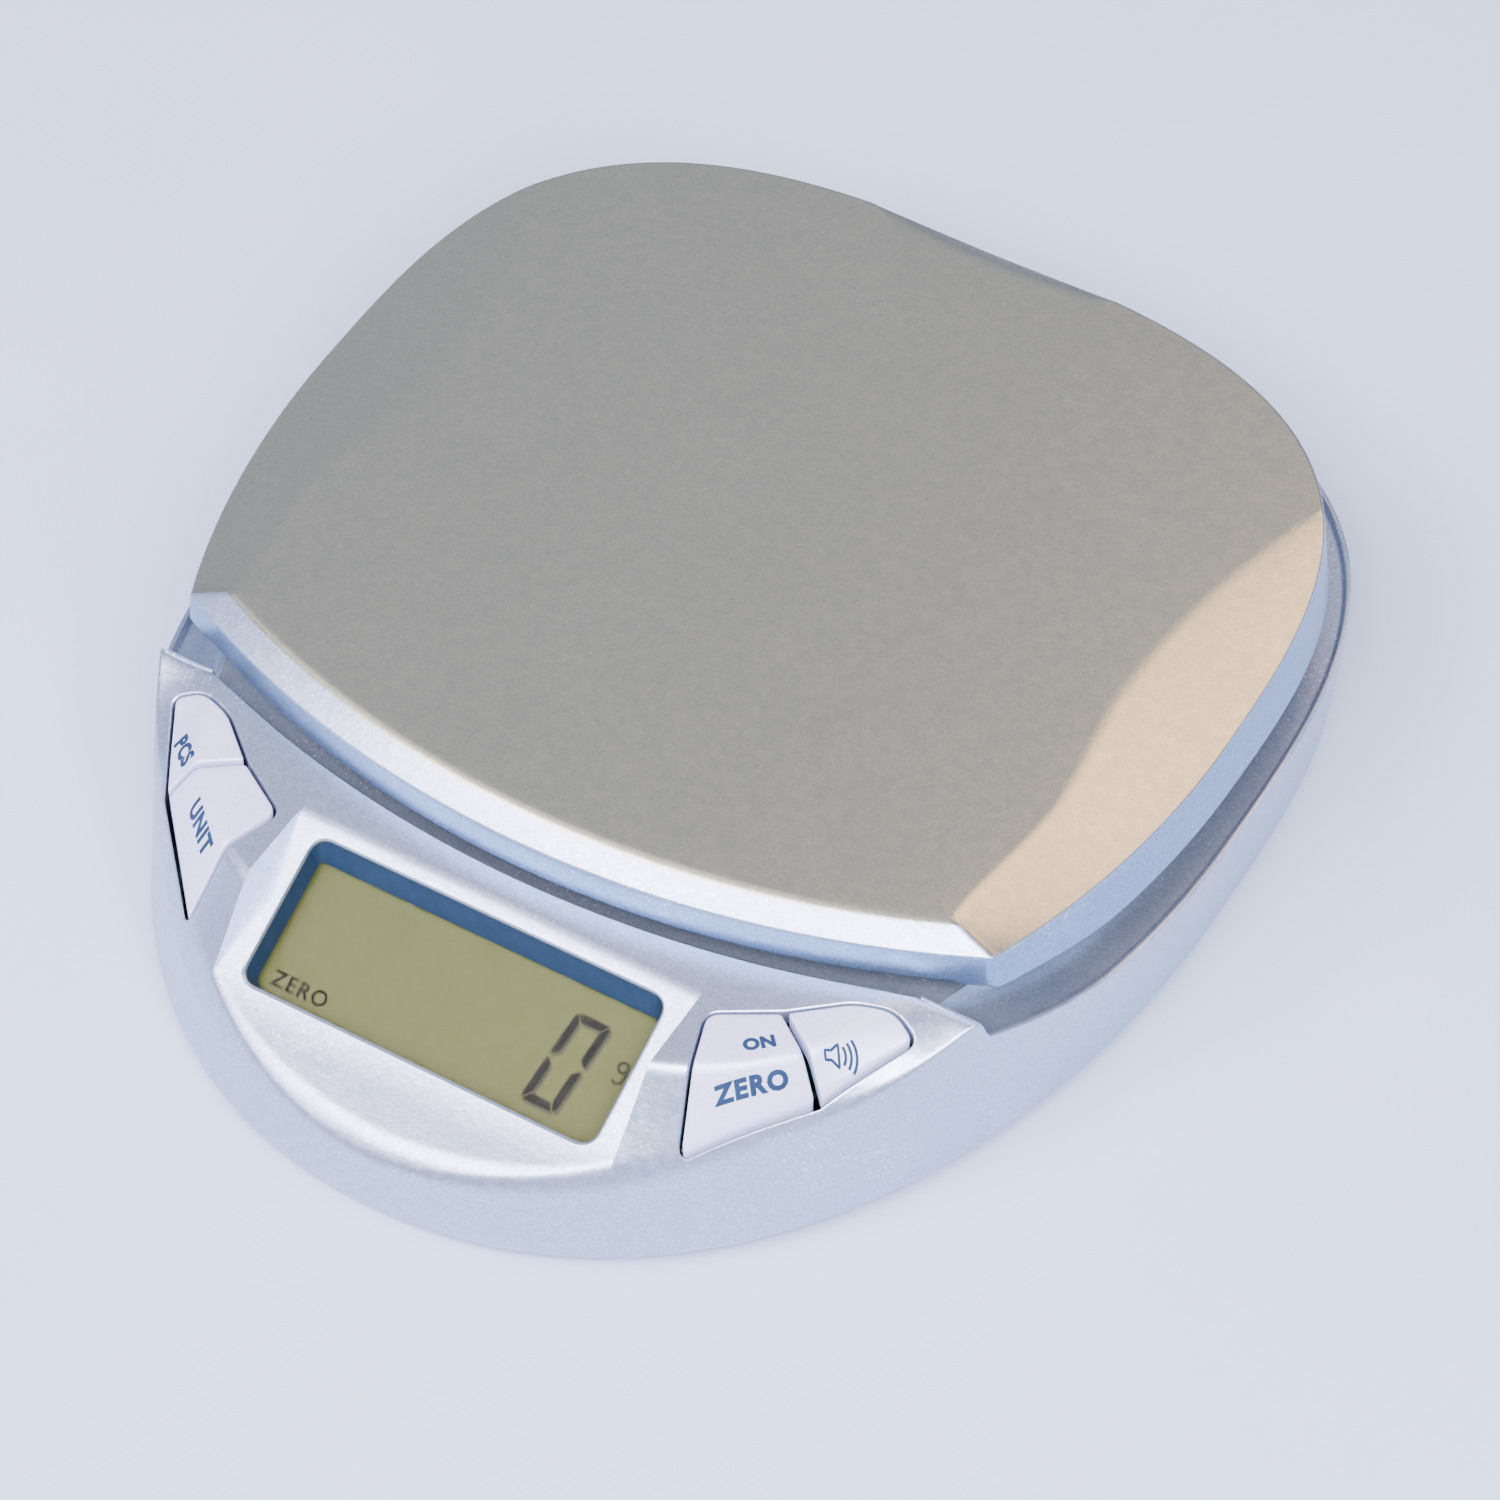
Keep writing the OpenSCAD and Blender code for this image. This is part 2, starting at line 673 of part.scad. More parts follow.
module battery_bridge() {
    color([0.8, 0.8, 0.82]) mirror([1, 0, 0]) {
        contact_plate(battery_y[0] - 4, battery_y[1] + 4);
        translate([-25.4, battery_y[0], battery_axis_z]) rotate([0, 90, 0])
            cylinder(h = 3, r = 1.6);
    }
}

// Two wires from the battery bay to the board, along the floor
module battery_leads() {
    color([0.75, 0.1, 0.1]) for (k = [0, 1]) {
        d = 1.6 * k;
        z = floor_z + 0.6;
        translate([-36 - d, 48 + d, z]) rotate([0, 90, 0]) cylinder(h = 8.8 + d, r = 0.6);
        for (y = [48 + d, -36 + d]) translate([-36 - d, y, z]) sphere(r = 0.6);
        translate([-36 - d, 48 + d, z]) rotate([90, 0, 0]) cylinder(h = 84, r = 0.6);
        translate([-36 - d, -36 + d, z]) cylinder(h = board_z - z - 0.02, r = 0.6);
    }
}

module board_screws() {
    color([0.7, 0.7, 0.72]) mirror_pair() for (p = board_screw_xy)
        translate([p[0], p[1], board_z + board_t + 1.3]) rotate([180, 0, 0]) cap_screw(2.8, 2, 0.75);
}

module housing_screws() {
    color([0.7, 0.7, 0.72]) mirror_pair() for (p = house_screw_xy)
        translate([p[0], p[1], 1.1]) cap_screw(12, 2.7, 1.45);
}

module foot(side, k) {
    color([0.2, 0.2, 0.21]) translate([side * foot_x[k], foot_y[k], 0]) rotate_extrude()
        polygon([[0, 0.1], [3.8, 0], [5.2, 0], [foot_r, 0.8], [foot_r, 1.75], [0, 1.75]]);
}

module foot_front_left() { foot(-1, 0); }
module foot_front_right() { foot(1, 0); }
module foot_rear_left() { foot(-1, 1); }
module foot_rear_right() { foot(1, 1); }

// Blank foil plate under the base
module rating_plate() {
    color([0.85, 0.85, 0.84]) translate([0, -15, foot_proud - 0.15])
        linear_extrude(0.14) polygon(round_rect(44, 18, 2));
}

base_shell();
top_shell();
platform();
platform_frame();
frame_grommets();
load_cell();
strain_gauges();
load_cell_base_screws();
load_cell_top_screws();
load_cell_post();
load_cell_leads();
display_window();
lcd_glass();
lcd_reflector();
lcd_holder();
display_flex();
main_board();
processor_chip();
oscillator_can();
piezo_buzzer();
tact_switches();
count_key();
unit_key();
on_zero_key();
sound_key();
count_plunger();
unit_plunger();
on_zero_plunger();
sound_plunger();
battery_door();
battery_front();
battery_rear();
battery_springs();
battery_contacts();
battery_bridge();
battery_leads();
board_screws();
housing_screws();
foot_front_left();
foot_front_right();
foot_rear_left();
foot_rear_right();
rating_plate();
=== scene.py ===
"""Compact digital counter scale: finished surfaces, materials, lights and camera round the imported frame."""
import math
import bmesh
import bpy
import json
import numpy as np
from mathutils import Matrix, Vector


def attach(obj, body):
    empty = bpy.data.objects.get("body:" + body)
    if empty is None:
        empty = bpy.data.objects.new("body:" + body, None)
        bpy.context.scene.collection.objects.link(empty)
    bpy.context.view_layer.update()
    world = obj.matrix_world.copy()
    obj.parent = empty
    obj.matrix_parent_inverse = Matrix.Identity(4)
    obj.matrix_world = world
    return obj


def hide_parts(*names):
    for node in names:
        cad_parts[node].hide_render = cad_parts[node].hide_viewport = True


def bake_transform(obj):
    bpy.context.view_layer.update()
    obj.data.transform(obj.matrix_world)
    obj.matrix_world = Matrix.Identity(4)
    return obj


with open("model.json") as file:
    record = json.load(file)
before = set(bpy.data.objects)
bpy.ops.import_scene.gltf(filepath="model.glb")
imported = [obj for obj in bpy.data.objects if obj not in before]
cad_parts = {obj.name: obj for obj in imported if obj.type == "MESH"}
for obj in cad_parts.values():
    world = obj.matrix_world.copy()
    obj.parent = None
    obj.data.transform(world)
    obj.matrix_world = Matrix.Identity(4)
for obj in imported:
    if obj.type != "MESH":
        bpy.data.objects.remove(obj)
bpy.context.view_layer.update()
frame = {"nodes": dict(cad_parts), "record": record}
MM = 0.001

# ---------------------------------------------------------------- shape of the scale, in mm

SEAM_Z = 1.9
LEDGE_Z = 16.2
STRIP_Z = 24.7
DECK_Z = 20.7
TOP_Z = 32.0
SKIN = 2.0
WALL_TOP_Z = STRIP_Z - 0.1

FRONT_END_Y = -78.0
SHOULDER_Z = 11.4
SHOULDER_END_Y = -34.5
CORNER_Y = -34.62
CORNER_X = 48.8
STEP_LENGTH = 2.5
GAP_Y = -43.2
GAP_R = 143.0

CREASE_X = 49.0
CREASE_Y = -20.0
CREASE_REACH = 42.6
CREASE_POWER = 2.6

EDGE_DROP = 0.35

PLATE_MID_Y = 12.45
PLATE_FRONT_Y = -42.4
PLATE_FRONT_R = 122.8
PLATE_TOP_FRONT_Y = -39.0
PLATE_TOP_FRONT_R = 121.8
PLATE_TOP_CORNER_X = 49.6
PLATE_BACK_Y = 50.4
BEVEL_Z = 29.64
FACET_WAIST_Y = 12.5
FACET_WAIST_X = 49.4
BACK_LENS_HALF = 17.5

PANEL_Y = -47.3
PANEL_FOOT_Y = -67.5
PANEL_TILT = math.radians(26)
PANEL_HALF = 27.3
PANEL_MID = np.array([0.0, -57.8, STRIP_Z - 10.5 * math.tan(PANEL_TILT)])
WINDOW_W = 48.0
WINDOW_H = 19.0
LCD_DEPTH = 4.0

KEY_GAP = 0.42
KEY_LIFT = 0.3
INNER_KEY = [(29.4, -49.5), (36.6, -45.2), (44.2, -50.7), (33.7, -62.4)]
OUTER_KEY = [(37.2, -44.7), (42.8, -39.9), (47.4, -38.2), (50.6, -39.6), (44.8, -50.1)]
KEY_WELL = [(29.4, -49.5), (36.9, -44.9), (42.8, -39.9), (47.4, -38.2), (50.6, -39.6),
            (44.6, -50.5), (33.7, -62.4)]
INNER_RADII = [1.5, 0.5, 0.45, 0.8]
OUTER_RADII = [0.5, 1.2, 1.6, 0.9, 0.45]
WELL_RADII = [1.6, 0.4, 1.2, 1.6, 0.9, 0.4, 0.9]
INNER_POST = (36.5, -53)
OUTER_POST = (43.5, -43.8)


def power(v, p):
    return np.sign(v) * np.abs(v) ** p


def smoothstep(v):
    v = np.clip(v, 0, 1)
    return v * v * (3 - 2 * v)


def smooth_min(a, b, k):
    h = np.maximum(k - np.abs(a - b), 0) / k
    return np.minimum(a, b) - h * h * k / 4


def smooth_max(a, b, k):
    return -smooth_min(-a, -b, k)


def oval(t, half_w, y0, front, back, pf, pb):
    """Points of an oval with its own reach and power at the front and the back."""
    s, c = np.sin(t), np.cos(t)
    p = np.where(s < 0, pf, pb)
    reach = np.where(s < 0, front, back)
    return half_w * power(c, 2 / p), y0 + reach * power(s, 2 / p)


def body_point(t, z):
    """The housing's outline at height z; it widens a little from the seam to the ledge."""
    k = np.clip((z - SEAM_Z) / (LEDGE_Z - SEAM_Z), 0, 1)
    return oval(t, 64.8 + 1.6 * k, 9.4, 87.4, 68.6, 2.1 - 0.2 * k, 3.1)


def shoulder_z(y):
    """Height of the line where the front wall turns into the top."""
    u = np.clip((y - FRONT_END_Y) / (SHOULDER_END_Y - FRONT_END_Y), 0, 1)
    return SHOULDER_Z + (WALL_TOP_Z - SHOULDER_Z) * u ** 1.6


# The shoulder line round the whole housing, finely sampled, counter-clockwise from the back
DENSE_T = np.linspace(0.5 * math.pi, 2.5 * math.pi, 24001)
DENSE_Z = shoulder_z(body_point(DENSE_T, LEDGE_Z)[1])
DENSE_X, DENSE_Y = body_point(DENSE_T, DENSE_Z)
FRONT = (DENSE_T > math.pi) & (DENSE_T < 2 * math.pi)


def polar(x, y):
    """Distance and bearing from the centre that the crease and the slope fan out from."""
    return np.hypot(x, y - CREASE_Y), np.arctan2(x, -(y - CREASE_Y))


DENSE_R, DENSE_PHI = polar(DENSE_X[FRONT], DENSE_Y[FRONT])


def dome(x, y):
    """Height of the front: the flat strip, the soft crease, the slope, and the rounded shoulder."""
    r, phi = polar(x, y)
    crease = ((np.abs(np.sin(phi)) / CREASE_X) ** CREASE_POWER
              + (np.abs(np.cos(phi)) / CREASE_REACH) ** CREASE_POWER) ** (-1 / CREASE_POWER)
    edge = np.interp(phi, DENSE_PHI, DENSE_R)
    foot = np.interp(phi, DENSE_PHI, DENSE_Z[FRONT])
    slope = STRIP_Z - (STRIP_Z - foot) * (r - crease) / np.maximum(edge - crease, 0.5)
    return smooth_min(STRIP_Z + 0 * r, slope, 1.1)


def shoulder_drop(x, y):
    """How far the rounding at the outline lowers the surface: soft at the front, crisp at the sides."""
    r, phi = polar(x, y)
    edge = np.interp(phi, DENSE_PHI, DENSE_R)
    foot_y = np.interp(phi, DENSE_PHI, DENSE_Y[FRONT])
    u = np.clip((foot_y - FRONT_END_Y) / (SHOULDER_END_Y - FRONT_END_Y), 0, 1)
    size = 0.35 + 2.7 * (1 - u) ** 1.4
    d = np.clip((edge - r) / (1.2 * size), 0, 1)
    return size * (1 - np.sqrt(np.clip(1 - (1 - d) ** 2, 0, 1)))


def panel(y):
    """Height of the sloped display panel and of the lip in front of it."""
    foot_z = STRIP_Z - (PANEL_Y - PANEL_FOOT_Y) * math.tan(PANEL_TILT)
    upper = STRIP_Z - (PANEL_Y - y) * math.tan(PANEL_TILT)
    lip = foot_z + (y - PANEL_FOOT_Y) * (foot_z - SHOULDER_Z - 0.2) / (PANEL_FOOT_Y - FRONT_END_Y)
    return smooth_max(upper, lip, 0.6)


def front_height(x, y, inside):
    """Height of the front; inside is true between the sides of the display panel."""
    z = dome(x, y)
    if inside:
        z = smooth_min(z, panel(y) + 0 * x, 0.35)
    return z - shoulder_drop(x, y)


def key_height(x, y):
    """Height of a key's face, a little proud of the front round it."""
    return dome(x, y) + KEY_LIFT - shoulder_drop(x, y)


def bowed(x, front_y, radius):
    """An edge that bows forwards: an arc through front_y on the middle line."""
    return front_y + radius - np.sqrt(radius ** 2 - x ** 2)


def rounded(points, radii, steps=5):
    """A run of 3-D points with each inner corner replaced by a short curve of that reach."""
    pts = [np.asarray(p, float) for p in points]
    out = [pts[0]]
    for before, here, after, radius in zip(pts, pts[1:], pts[2:], radii):
        a, b = before - here, after - here
        la, lb = np.linalg.norm(a), np.linalg.norm(b)
        reach = min(radius, 0.48 * la, 0.48 * lb)
        if reach < 1e-6:
            out.extend([here] * (steps + 1))
            continue
        start, end = here + a / la * reach, here + b / lb * reach
        for k in range(steps + 1):
            u = k / steps
            out.append((1 - u) ** 2 * start + 2 * u * (1 - u) * here + u * u * end)
    out.append(pts[-1])
    return np.array(out)


def resample(points, count):
    """count points evenly along a run of points."""
    step = np.linalg.norm(np.diff(points, axis=0), axis=1)
    run = np.concatenate([[0], np.cumsum(step)])
    at = np.linspace(0, run[-1], count)
    return np.stack([np.interp(at, run, points[:, k]) for k in range(3)], 1)


def even_run(x, y, count):
    """count points evenly along a plan line."""
    run = np.concatenate([[0], np.cumsum(np.hypot(np.diff(x), np.diff(y)))])
    at = np.linspace(0, run[-1], count)
    return np.column_stack([np.interp(at, run, x), np.interp(at, run, y)])


def round_outline(points, radii, steps=7):
    """Closed plan outline with round corners."""
    out = []
    n = len(points)
    for i in range(n):
        here = np.array(points[i], float)
        a = np.array(points[i - 1], float) - here
        b = np.array(points[(i + 1) % n], float) - here
        la, lb = np.linalg.norm(a), np.linalg.norm(b)
        reach = min(radii[i], 0.45 * la, 0.45 * lb)
        start, end = here + a / la * reach, here + b / lb * reach
        for k in range(steps + 1):
            u = k / steps
            out.append((1 - u) ** 2 * start + 2 * u * (1 - u) * here + u * u * end)
    return np.array(out)


def even_outline(points, spacing):
    """The same closed outline with extra points on its long sides."""
    out = []
    for a, b in zip(points, np.roll(points, -1, axis=0)):
        parts = max(1, int(round(np.linalg.norm(b - a) / spacing)))
        for k in range(parts):
            out.append(a + (b - a) * k / parts)
    return np.array(out)


def turn(points):
    """Twice the signed area of a closed outline: positive when it runs counter-clockwise."""
    x, y = points[:, 0], points[:, 1]
    return np.sum(x * np.roll(y, -1) - np.roll(x, -1) * y)


def plan_normals(points):
    """Directions away from a counter-clockwise outline at its corners."""
    tangent = np.roll(points, -1, axis=0) - np.roll(points, 1, axis=0)
    tangent /= np.maximum(np.linalg.norm(tangent, axis=1, keepdims=True), 1e-9)
    return np.stack([tangent[:, 1], -tangent[:, 0]], 1)


def grown(points, d):
    """Closed outline moved outwards by d."""
    return points + plan_normals(points) * d * np.sign(turn(points))


def mirrored(points):
    """The same outline on the scale's left side, still running the same way round."""
    return [(-x, y) for x, y in reversed(points)]


# ---------------------------------------------------------------- mesh helpers

def piece(name, verts, faces, body, sharp=35, replaces=()):
    """A smooth-shaded object from points in mm, riding on a body."""
    mesh = bpy.data.meshes.new(name)
    mesh.from_pydata([tuple(v) for v in np.asarray(verts, float) * MM], [], faces)
    bm = bmesh.new()
    bm.from_mesh(mesh)
    bmesh.ops.remove_doubles(bm, verts=bm.verts, dist=2e-6)
    bmesh.ops.dissolve_degenerate(bm, edges=bm.edges, dist=1e-6)
    if bm.calc_volume(signed=True) < 0:
        bmesh.ops.reverse_faces(bm, faces=bm.faces)
    bm.to_mesh(mesh)
    bm.free()
    obj = bpy.data.objects.new(name, mesh)
    bpy.context.scene.collection.objects.link(obj)
    smooth(obj, sharp)
    if replaces:
        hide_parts(*replaces)
    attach(obj, body)
    return obj


def smooth(obj, angle):
    """Smooth shading, with edges sharper than angle left crisp."""
    mesh = obj.data
    mesh.polygons.foreach_set("use_smooth", [True] * len(mesh.polygons))
    mesh.set_sharp_from_angle(angle=math.radians(angle))
    mesh.update()


def ring_faces(offset, rings, n, closed=True):
    """Quads between successive rings of n points."""
    last = n if closed else n - 1
    return [(offset + j * n + i, offset + j * n + (i + 1) % n,
             offset + (j + 1) * n + (i + 1) % n, offset + (j + 1) * n + i)
            for j in range(rings - 1) for i in range(last)]


def stack_solid(rings):
    """Closed solid through rings of equal length from the top down, with a flat cap at each end."""
    n = len(rings[0])
    verts = np.concatenate(rings)
    faces = ring_faces(0, len(rings), n)
    faces.append(tuple(range(n - 1, -1, -1)))
    faces.append(tuple(range((len(rings) - 1) * n, len(rings) * n)))
    return verts, faces


def cut(obj, cutters, sharp):
    """Takes the cutter solids, each (points in mm, faces), out of obj."""
    made = []
    for verts, faces in cutters:
        mesh = bpy.data.meshes.new("cutter")
        mesh.from_pydata([tuple(v) for v in np.asarray(verts, float) * MM], [], faces)
        bm = bmesh.new()
        bm.from_mesh(mesh)
        if bm.calc_volume(signed=True) < 0:
            bmesh.ops.reverse_faces(bm, faces=bm.faces)
        bmesh.ops.triangulate(bm, faces=bm.faces)
        bm.to_mesh(mesh)
        bm.free()
        cutter = bpy.data.objects.new("cutter", mesh)
        bpy.context.scene.collection.objects.link(cutter)
        made.append(cutter)
        mod = obj.modifiers.new("cut", "BOOLEAN")
        mod.operation = "DIFFERENCE"
        mod.solver = "EXACT"
        mod.object = cutter
    depsgraph = bpy.context.evaluated_depsgraph_get()
    done = bpy.data.meshes.new_from_object(obj.evaluated_get(depsgraph))
    obj.modifiers.clear()
    obj.data = done
    for cutter in made:
        bpy.data.objects.remove(cutter)
    smooth(obj, sharp)


# ---------------------------------------------------------------- top shell

def corner_angle():
    """Angle at which the shoulder line reaches the right end of the strip."""
    right = (DENSE_T > 1.5 * math.pi) & (DENSE_T < 2 * math.pi)
    return float(np.interp(CORNER_Y, DENSE_Y[right], DENSE_T[right]))


# Shares of the wall's height at which it has a row of points
WALL_STEPS = (0, 0.02, 0.35, 0.7)


def edge_drop(d):
    """How far a rounded edge lowers the surface; d runs from 0 on the edge to 1 where it ends."""
    return EDGE_DROP * (1 - np.sqrt(np.clip(1 - (1 - np.clip(d, 0, 1)) ** 2, 0, 1)))


def front_columns(rows):
    """Columns from the wall up over the front to the gap and down to the deck, left to right."""
    half = np.arange(0, 1.0, 1 / 54) * PANEL_HALF
    t0 = corner_angle()
    end_x = float(np.interp(t0, DENSE_T, DENSE_X))
    right = (DENSE_T > 1.5 * math.pi) & (DENSE_T < t0)
    t_panel = float(np.interp(PANEL_HALF, DENSE_X[right], DENSE_T[right]))
    outer = np.interp(np.linspace(t_panel, t0, 90), DENSE_T, DENSE_X)
    side = [(x, True) for x in half] + [(PANEL_HALF - 0.12, True), (PANEL_HALF, True)]
    side += [(PANEL_HALF, False), (PANEL_HALF + 0.12, False), (PANEL_HALF + 0.35, False)]
    side += [(x, False) for x in outer[1:-1] if x > PANEL_HALF + 0.5] + [(end_x, False)]
    plan = [(-x, inside) for x, inside in reversed(side[1:])] + side
    front_x, front_t = DENSE_X[FRONT], DENSE_T[FRONT]
    s = (np.arange(rows) / (rows - 1)) ** 1.5
    columns = []
    for x, inside in plan:
        t = float(np.interp(x, front_x, front_t))
        top = np.array([x, float(np.interp(t, DENSE_T, DENSE_Y))])
        spread = 35 + (CORNER_X - 35) * (abs(x) - 35) / (end_x - 35)
        gx = math.copysign(abs(x) if abs(x) < 35 else spread, x)
        gap = np.array([gx, float(bowed(gx, GAP_Y, GAP_R))])
        run = top + (gap - top) * s[:, None]
        z = front_height(run[:, 0], run[:, 1], inside)
        near_gap = np.linalg.norm(run - gap, axis=1) / 0.4
        near_end = (CORNER_Y - run[:, 1]) / 1.2 + 10 * (np.abs(run[:, 0]) < 46)
        already = smoothstep(shoulder_drop(run[:, 0], run[:, 1]) / EDGE_DROP)
        z = z - np.maximum(edge_drop(near_gap), edge_drop(near_end) * (1 - already))
        bx, by = body_point(np.array(t), np.array(SEAM_Z))
        foot = np.array([bx, by, SEAM_Z])
        wall = [foot + (np.array([top[0], top[1], z[0]]) - foot) * k for k in WALL_STEPS]
        column = wall + [np.array([p[0], p[1], h]) for p, h in zip(run, z)]
        column.append(np.array([gap[0], gap[1], DECK_Z]))
        under = front_height(run[:, 0], run[:, 1], abs(x) < PANEL_HALF + SKIN)
        inner = inner_front(foot, top, gap, run, under)
        columns.append((np.array(column), inner))
    return columns


def inner_front(foot, top, gap, run, z):
    """The inside of the shell under one front column."""
    away = (top - gap) / max(np.linalg.norm(top - gap), 1e-6)
    inward = -away
    start = top + inward * SKIN
    stop = gap + away * (SKIN + 0.2)
    u = np.linspace(0, 1, 14)[:, None]
    path = start + (stop - start) * u
    along = np.linalg.norm(run - top, axis=1)
    heights = np.interp(np.linalg.norm(path - top, axis=1), along, z) - SKIN - 0.3
    points = [np.array([foot[0] + inward[0] * SKIN, foot[1] + inward[1] * SKIN, SEAM_Z]),
              np.array([start[0], start[1], heights[0] * 0.5])]
    points += [np.array([p[0], p[1], h]) for p, h in zip(path, heights)]
    points.append(np.array([stop[0], stop[1], DECK_Z - SKIN]))
    return np.array(points)


def deck_outline(count):
    """Points of the raised deck from the strip's right end round the back to its left end."""
    t = np.linspace(-0.5 * math.pi, 1.5 * math.pi, 16001)
    x, y = oval(t, 57.1, 12.4, 90, 51.3, 2, 3)
    keep = (y > CORNER_Y) | (np.abs(x) > CORNER_X + 2)
    x, y = x[keep], y[keep]
    x[0], y[0] = CORNER_X, CORNER_Y
    x[-1], y[-1] = -CORNER_X, CORNER_Y
    return even_run(x, y, count)


def ledge_z(y):
    """Height of the outer edge of the ledge: it steps down beside the strip, then runs down."""
    top = STRIP_Z - EDGE_DROP
    step = top - (top - DECK_Z) * smoothstep((y - CORNER_Y) / STEP_LENGTH)
    low = LEDGE_Z + 4.5 * np.clip(1 - (y + 32.2) / 19.2, 0, 1) ** 1.4
    return np.where(y < CORNER_Y + STEP_LENGTH, step, np.minimum(low, DECK_Z))


def side_columns(rows, inner_rows):
    """Columns round the right side, the back and the left side, from the wall to the deck."""
    t0 = corner_angle()
    t = np.linspace(t0, 2 * math.pi + (3 * math.pi - t0), 20001)
    tx, ty = body_point(t, np.full_like(t, WALL_TOP_Z))
    bx, by = body_point(t, np.full_like(t, SEAM_Z))
    run = np.concatenate([[0], np.cumsum(np.hypot(np.diff(tx), np.diff(ty)))])
    fine = np.linspace(0, 7, 24)
    at = np.concatenate([fine, np.linspace(7, run[-1] - 7, 330)[1:-1], run[-1] - fine[::-1]])
    deck = deck_outline(4001)
    columns = []
    for value in at[1:-1]:
        upper = np.array([np.interp(value, run, v) for v in (tx, ty)])
        foot = np.array([np.interp(value, run, v) for v in (bx, by)])
        deck_at = value / run[-1] * 4000
        d = np.array([np.interp(deck_at, np.arange(4001), deck[:, k]) for k in (0, 1)])
        edge = float(ledge_z(upper[1]))
        p = foot + (upper - foot) * (edge - SEAM_Z) / (WALL_TOP_Z - SEAM_Z)
        b = float(smoothstep((upper[1] - CORNER_Y) / STEP_LENGTH))
        length = np.linalg.norm(d - p)
        u = (d - p) / length
        floor = edge - 1.0 * b
        deck_top = STRIP_Z - EDGE_DROP + (DECK_Z - STRIP_Z + EDGE_DROP) * b

        def at_plan(q, z):
            return np.array([p[0] + u[0] * q, p[1] + u[1] * q, z])

        rise = max(deck_top - floor, 0.01)
        profile = rounded([at_plan(0, edge - min(2, edge - 3)), at_plan(0, edge), at_plan(0.75, edge),
                           at_plan(1.05, floor + 0.1), at_plan(0.6 * length, floor - 0.1 * b),
                           at_plan(length - 1.2, floor + 0.25 * rise), at_plan(length, deck_top)],
                          [0.3, 0.15, 0.3, 2.5, 1.5])
        low_end = np.array([foot[0], foot[1], SEAM_Z])
        wall = [low_end + (profile[0] - low_end) * w for w in WALL_STEPS]
        column = np.concatenate([wall, resample(profile, rows), [[d[0], d[1], DECK_Z]]])
        low = min(floor, edge) - SKIN - 0.2
        inner = [np.array([foot[0] + u[0] * SKIN, foot[1] + u[1] * SKIN, SEAM_Z]),
                 at_plan(SKIN, low * 0.5), at_plan(SKIN, low)]
        ceiling = resample(np.array([at_plan(SKIN, low), at_plan(length + SKIN, low)]), inner_rows - 3)
        inner = np.concatenate([inner, ceiling[1:], [at_plan(length + SKIN, DECK_Z - SKIN)]])
        columns.append((column, inner))
    return columns


def make_top_shell():
    """A skin from the wall's foot over the front or the ledge to the deck, with wells cut in."""
    rows = 100
    columns = front_columns(rows)
    columns += side_columns(rows, len(columns[0][1]))
    outer = np.array([c[0] for c in columns])
    inner = np.array([c[1] for c in columns])
    n = len(columns)
    verts = np.concatenate([outer.transpose(1, 0, 2).reshape(-1, 3),
                            inner.transpose(1, 0, 2).reshape(-1, 3)])
    mo, mi = outer.shape[1], inner.shape[1]
    start = mo * n
    faces = ring_faces(0, mo, n)
    faces += [f[::-1] for f in ring_faces(start, mi, n)]
    faces += [(i, start + i, start + (i + 1) % n, (i + 1) % n) for i in range(n)]
    faces.append(tuple((mo - 1) * n + i for i in range(n)))
    faces.append(tuple(start + (mi - 1) * n + i for i in range(n - 1, -1, -1)))
    obj = piece("top_shell_body", verts, faces, "housing", 32, ["top_shell"])
    cut(obj, [key_well_cutter(KEY_WELL, WELL_RADII),
              key_well_cutter(mirrored(KEY_WELL), WELL_RADII[::-1]),
              window_cutter(), post_cutter()], 32)
    return obj


def key_well_cutter(points, radii):
    """The well round two keys, with a rounded rim."""
    outline = even_outline(round_outline(points, radii), 0.7)
    rings = [np.column_stack([grown(outline, KEY_GAP + 0.26), np.full(len(outline), 28.0)])]
    for grow, lift in ((KEY_GAP + 0.26, 0.03), (KEY_GAP + 0.1, -0.07), (KEY_GAP + 0.02, -0.2),
                       (KEY_GAP, -0.4)):
        plan = grown(outline, grow)
        z = dome(plan[:, 0], plan[:, 1]) - shoulder_drop(plan[:, 0], plan[:, 1]) + lift
        rings.append(np.column_stack([plan, z]))
    rings.append(np.column_stack([grown(outline, KEY_GAP), np.full(len(outline), 8.0)]))
    return stack_solid(rings)


def window_outline(grow):
    w, h = WINDOW_W / 2 + grow, WINDOW_H / 2 + grow
    r = 1.8 + grow
    return round_outline([(w, h), (-w, h), (-w, -h), (w, -h)], [r * 1.25] * 4)


def on_panel(plan, depth):
    """Panel coordinates to the row frame; depth is below the panel's face."""
    c, s = math.cos(PANEL_TILT), math.sin(PANEL_TILT)
    plan = np.asarray(plan, float)
    x, y = plan[:, 0], plan[:, 1]
    return np.column_stack([x, PANEL_MID[1] + y * c + depth * s, PANEL_MID[2] + y * s - depth * c])


def window_cutter():
    """The display opening, with a rounded rim."""
    rings = [on_panel(window_outline(g), d) for g, d in
             ((1.8, -1.4), (0.42, -0.02), (0.2, 0.06), (0.06, 0.2), (0, 0.42), (0, 3.0))]
    return stack_solid(rings)


def box_solid(low, high):
    (x0, y0, z0), (x1, y1, z1) = low, high
    ring = [(x0, y0), (x1, y0), (x1, y1), (x0, y1)]
    return stack_solid([np.array([(x, y, z) for x, y in ring], float) for z in (z1, z0)])


def post_cutter():
    """The hole in the deck for the load cell's post."""
    return box_solid((10, 1, 12), (35, 19, 24))


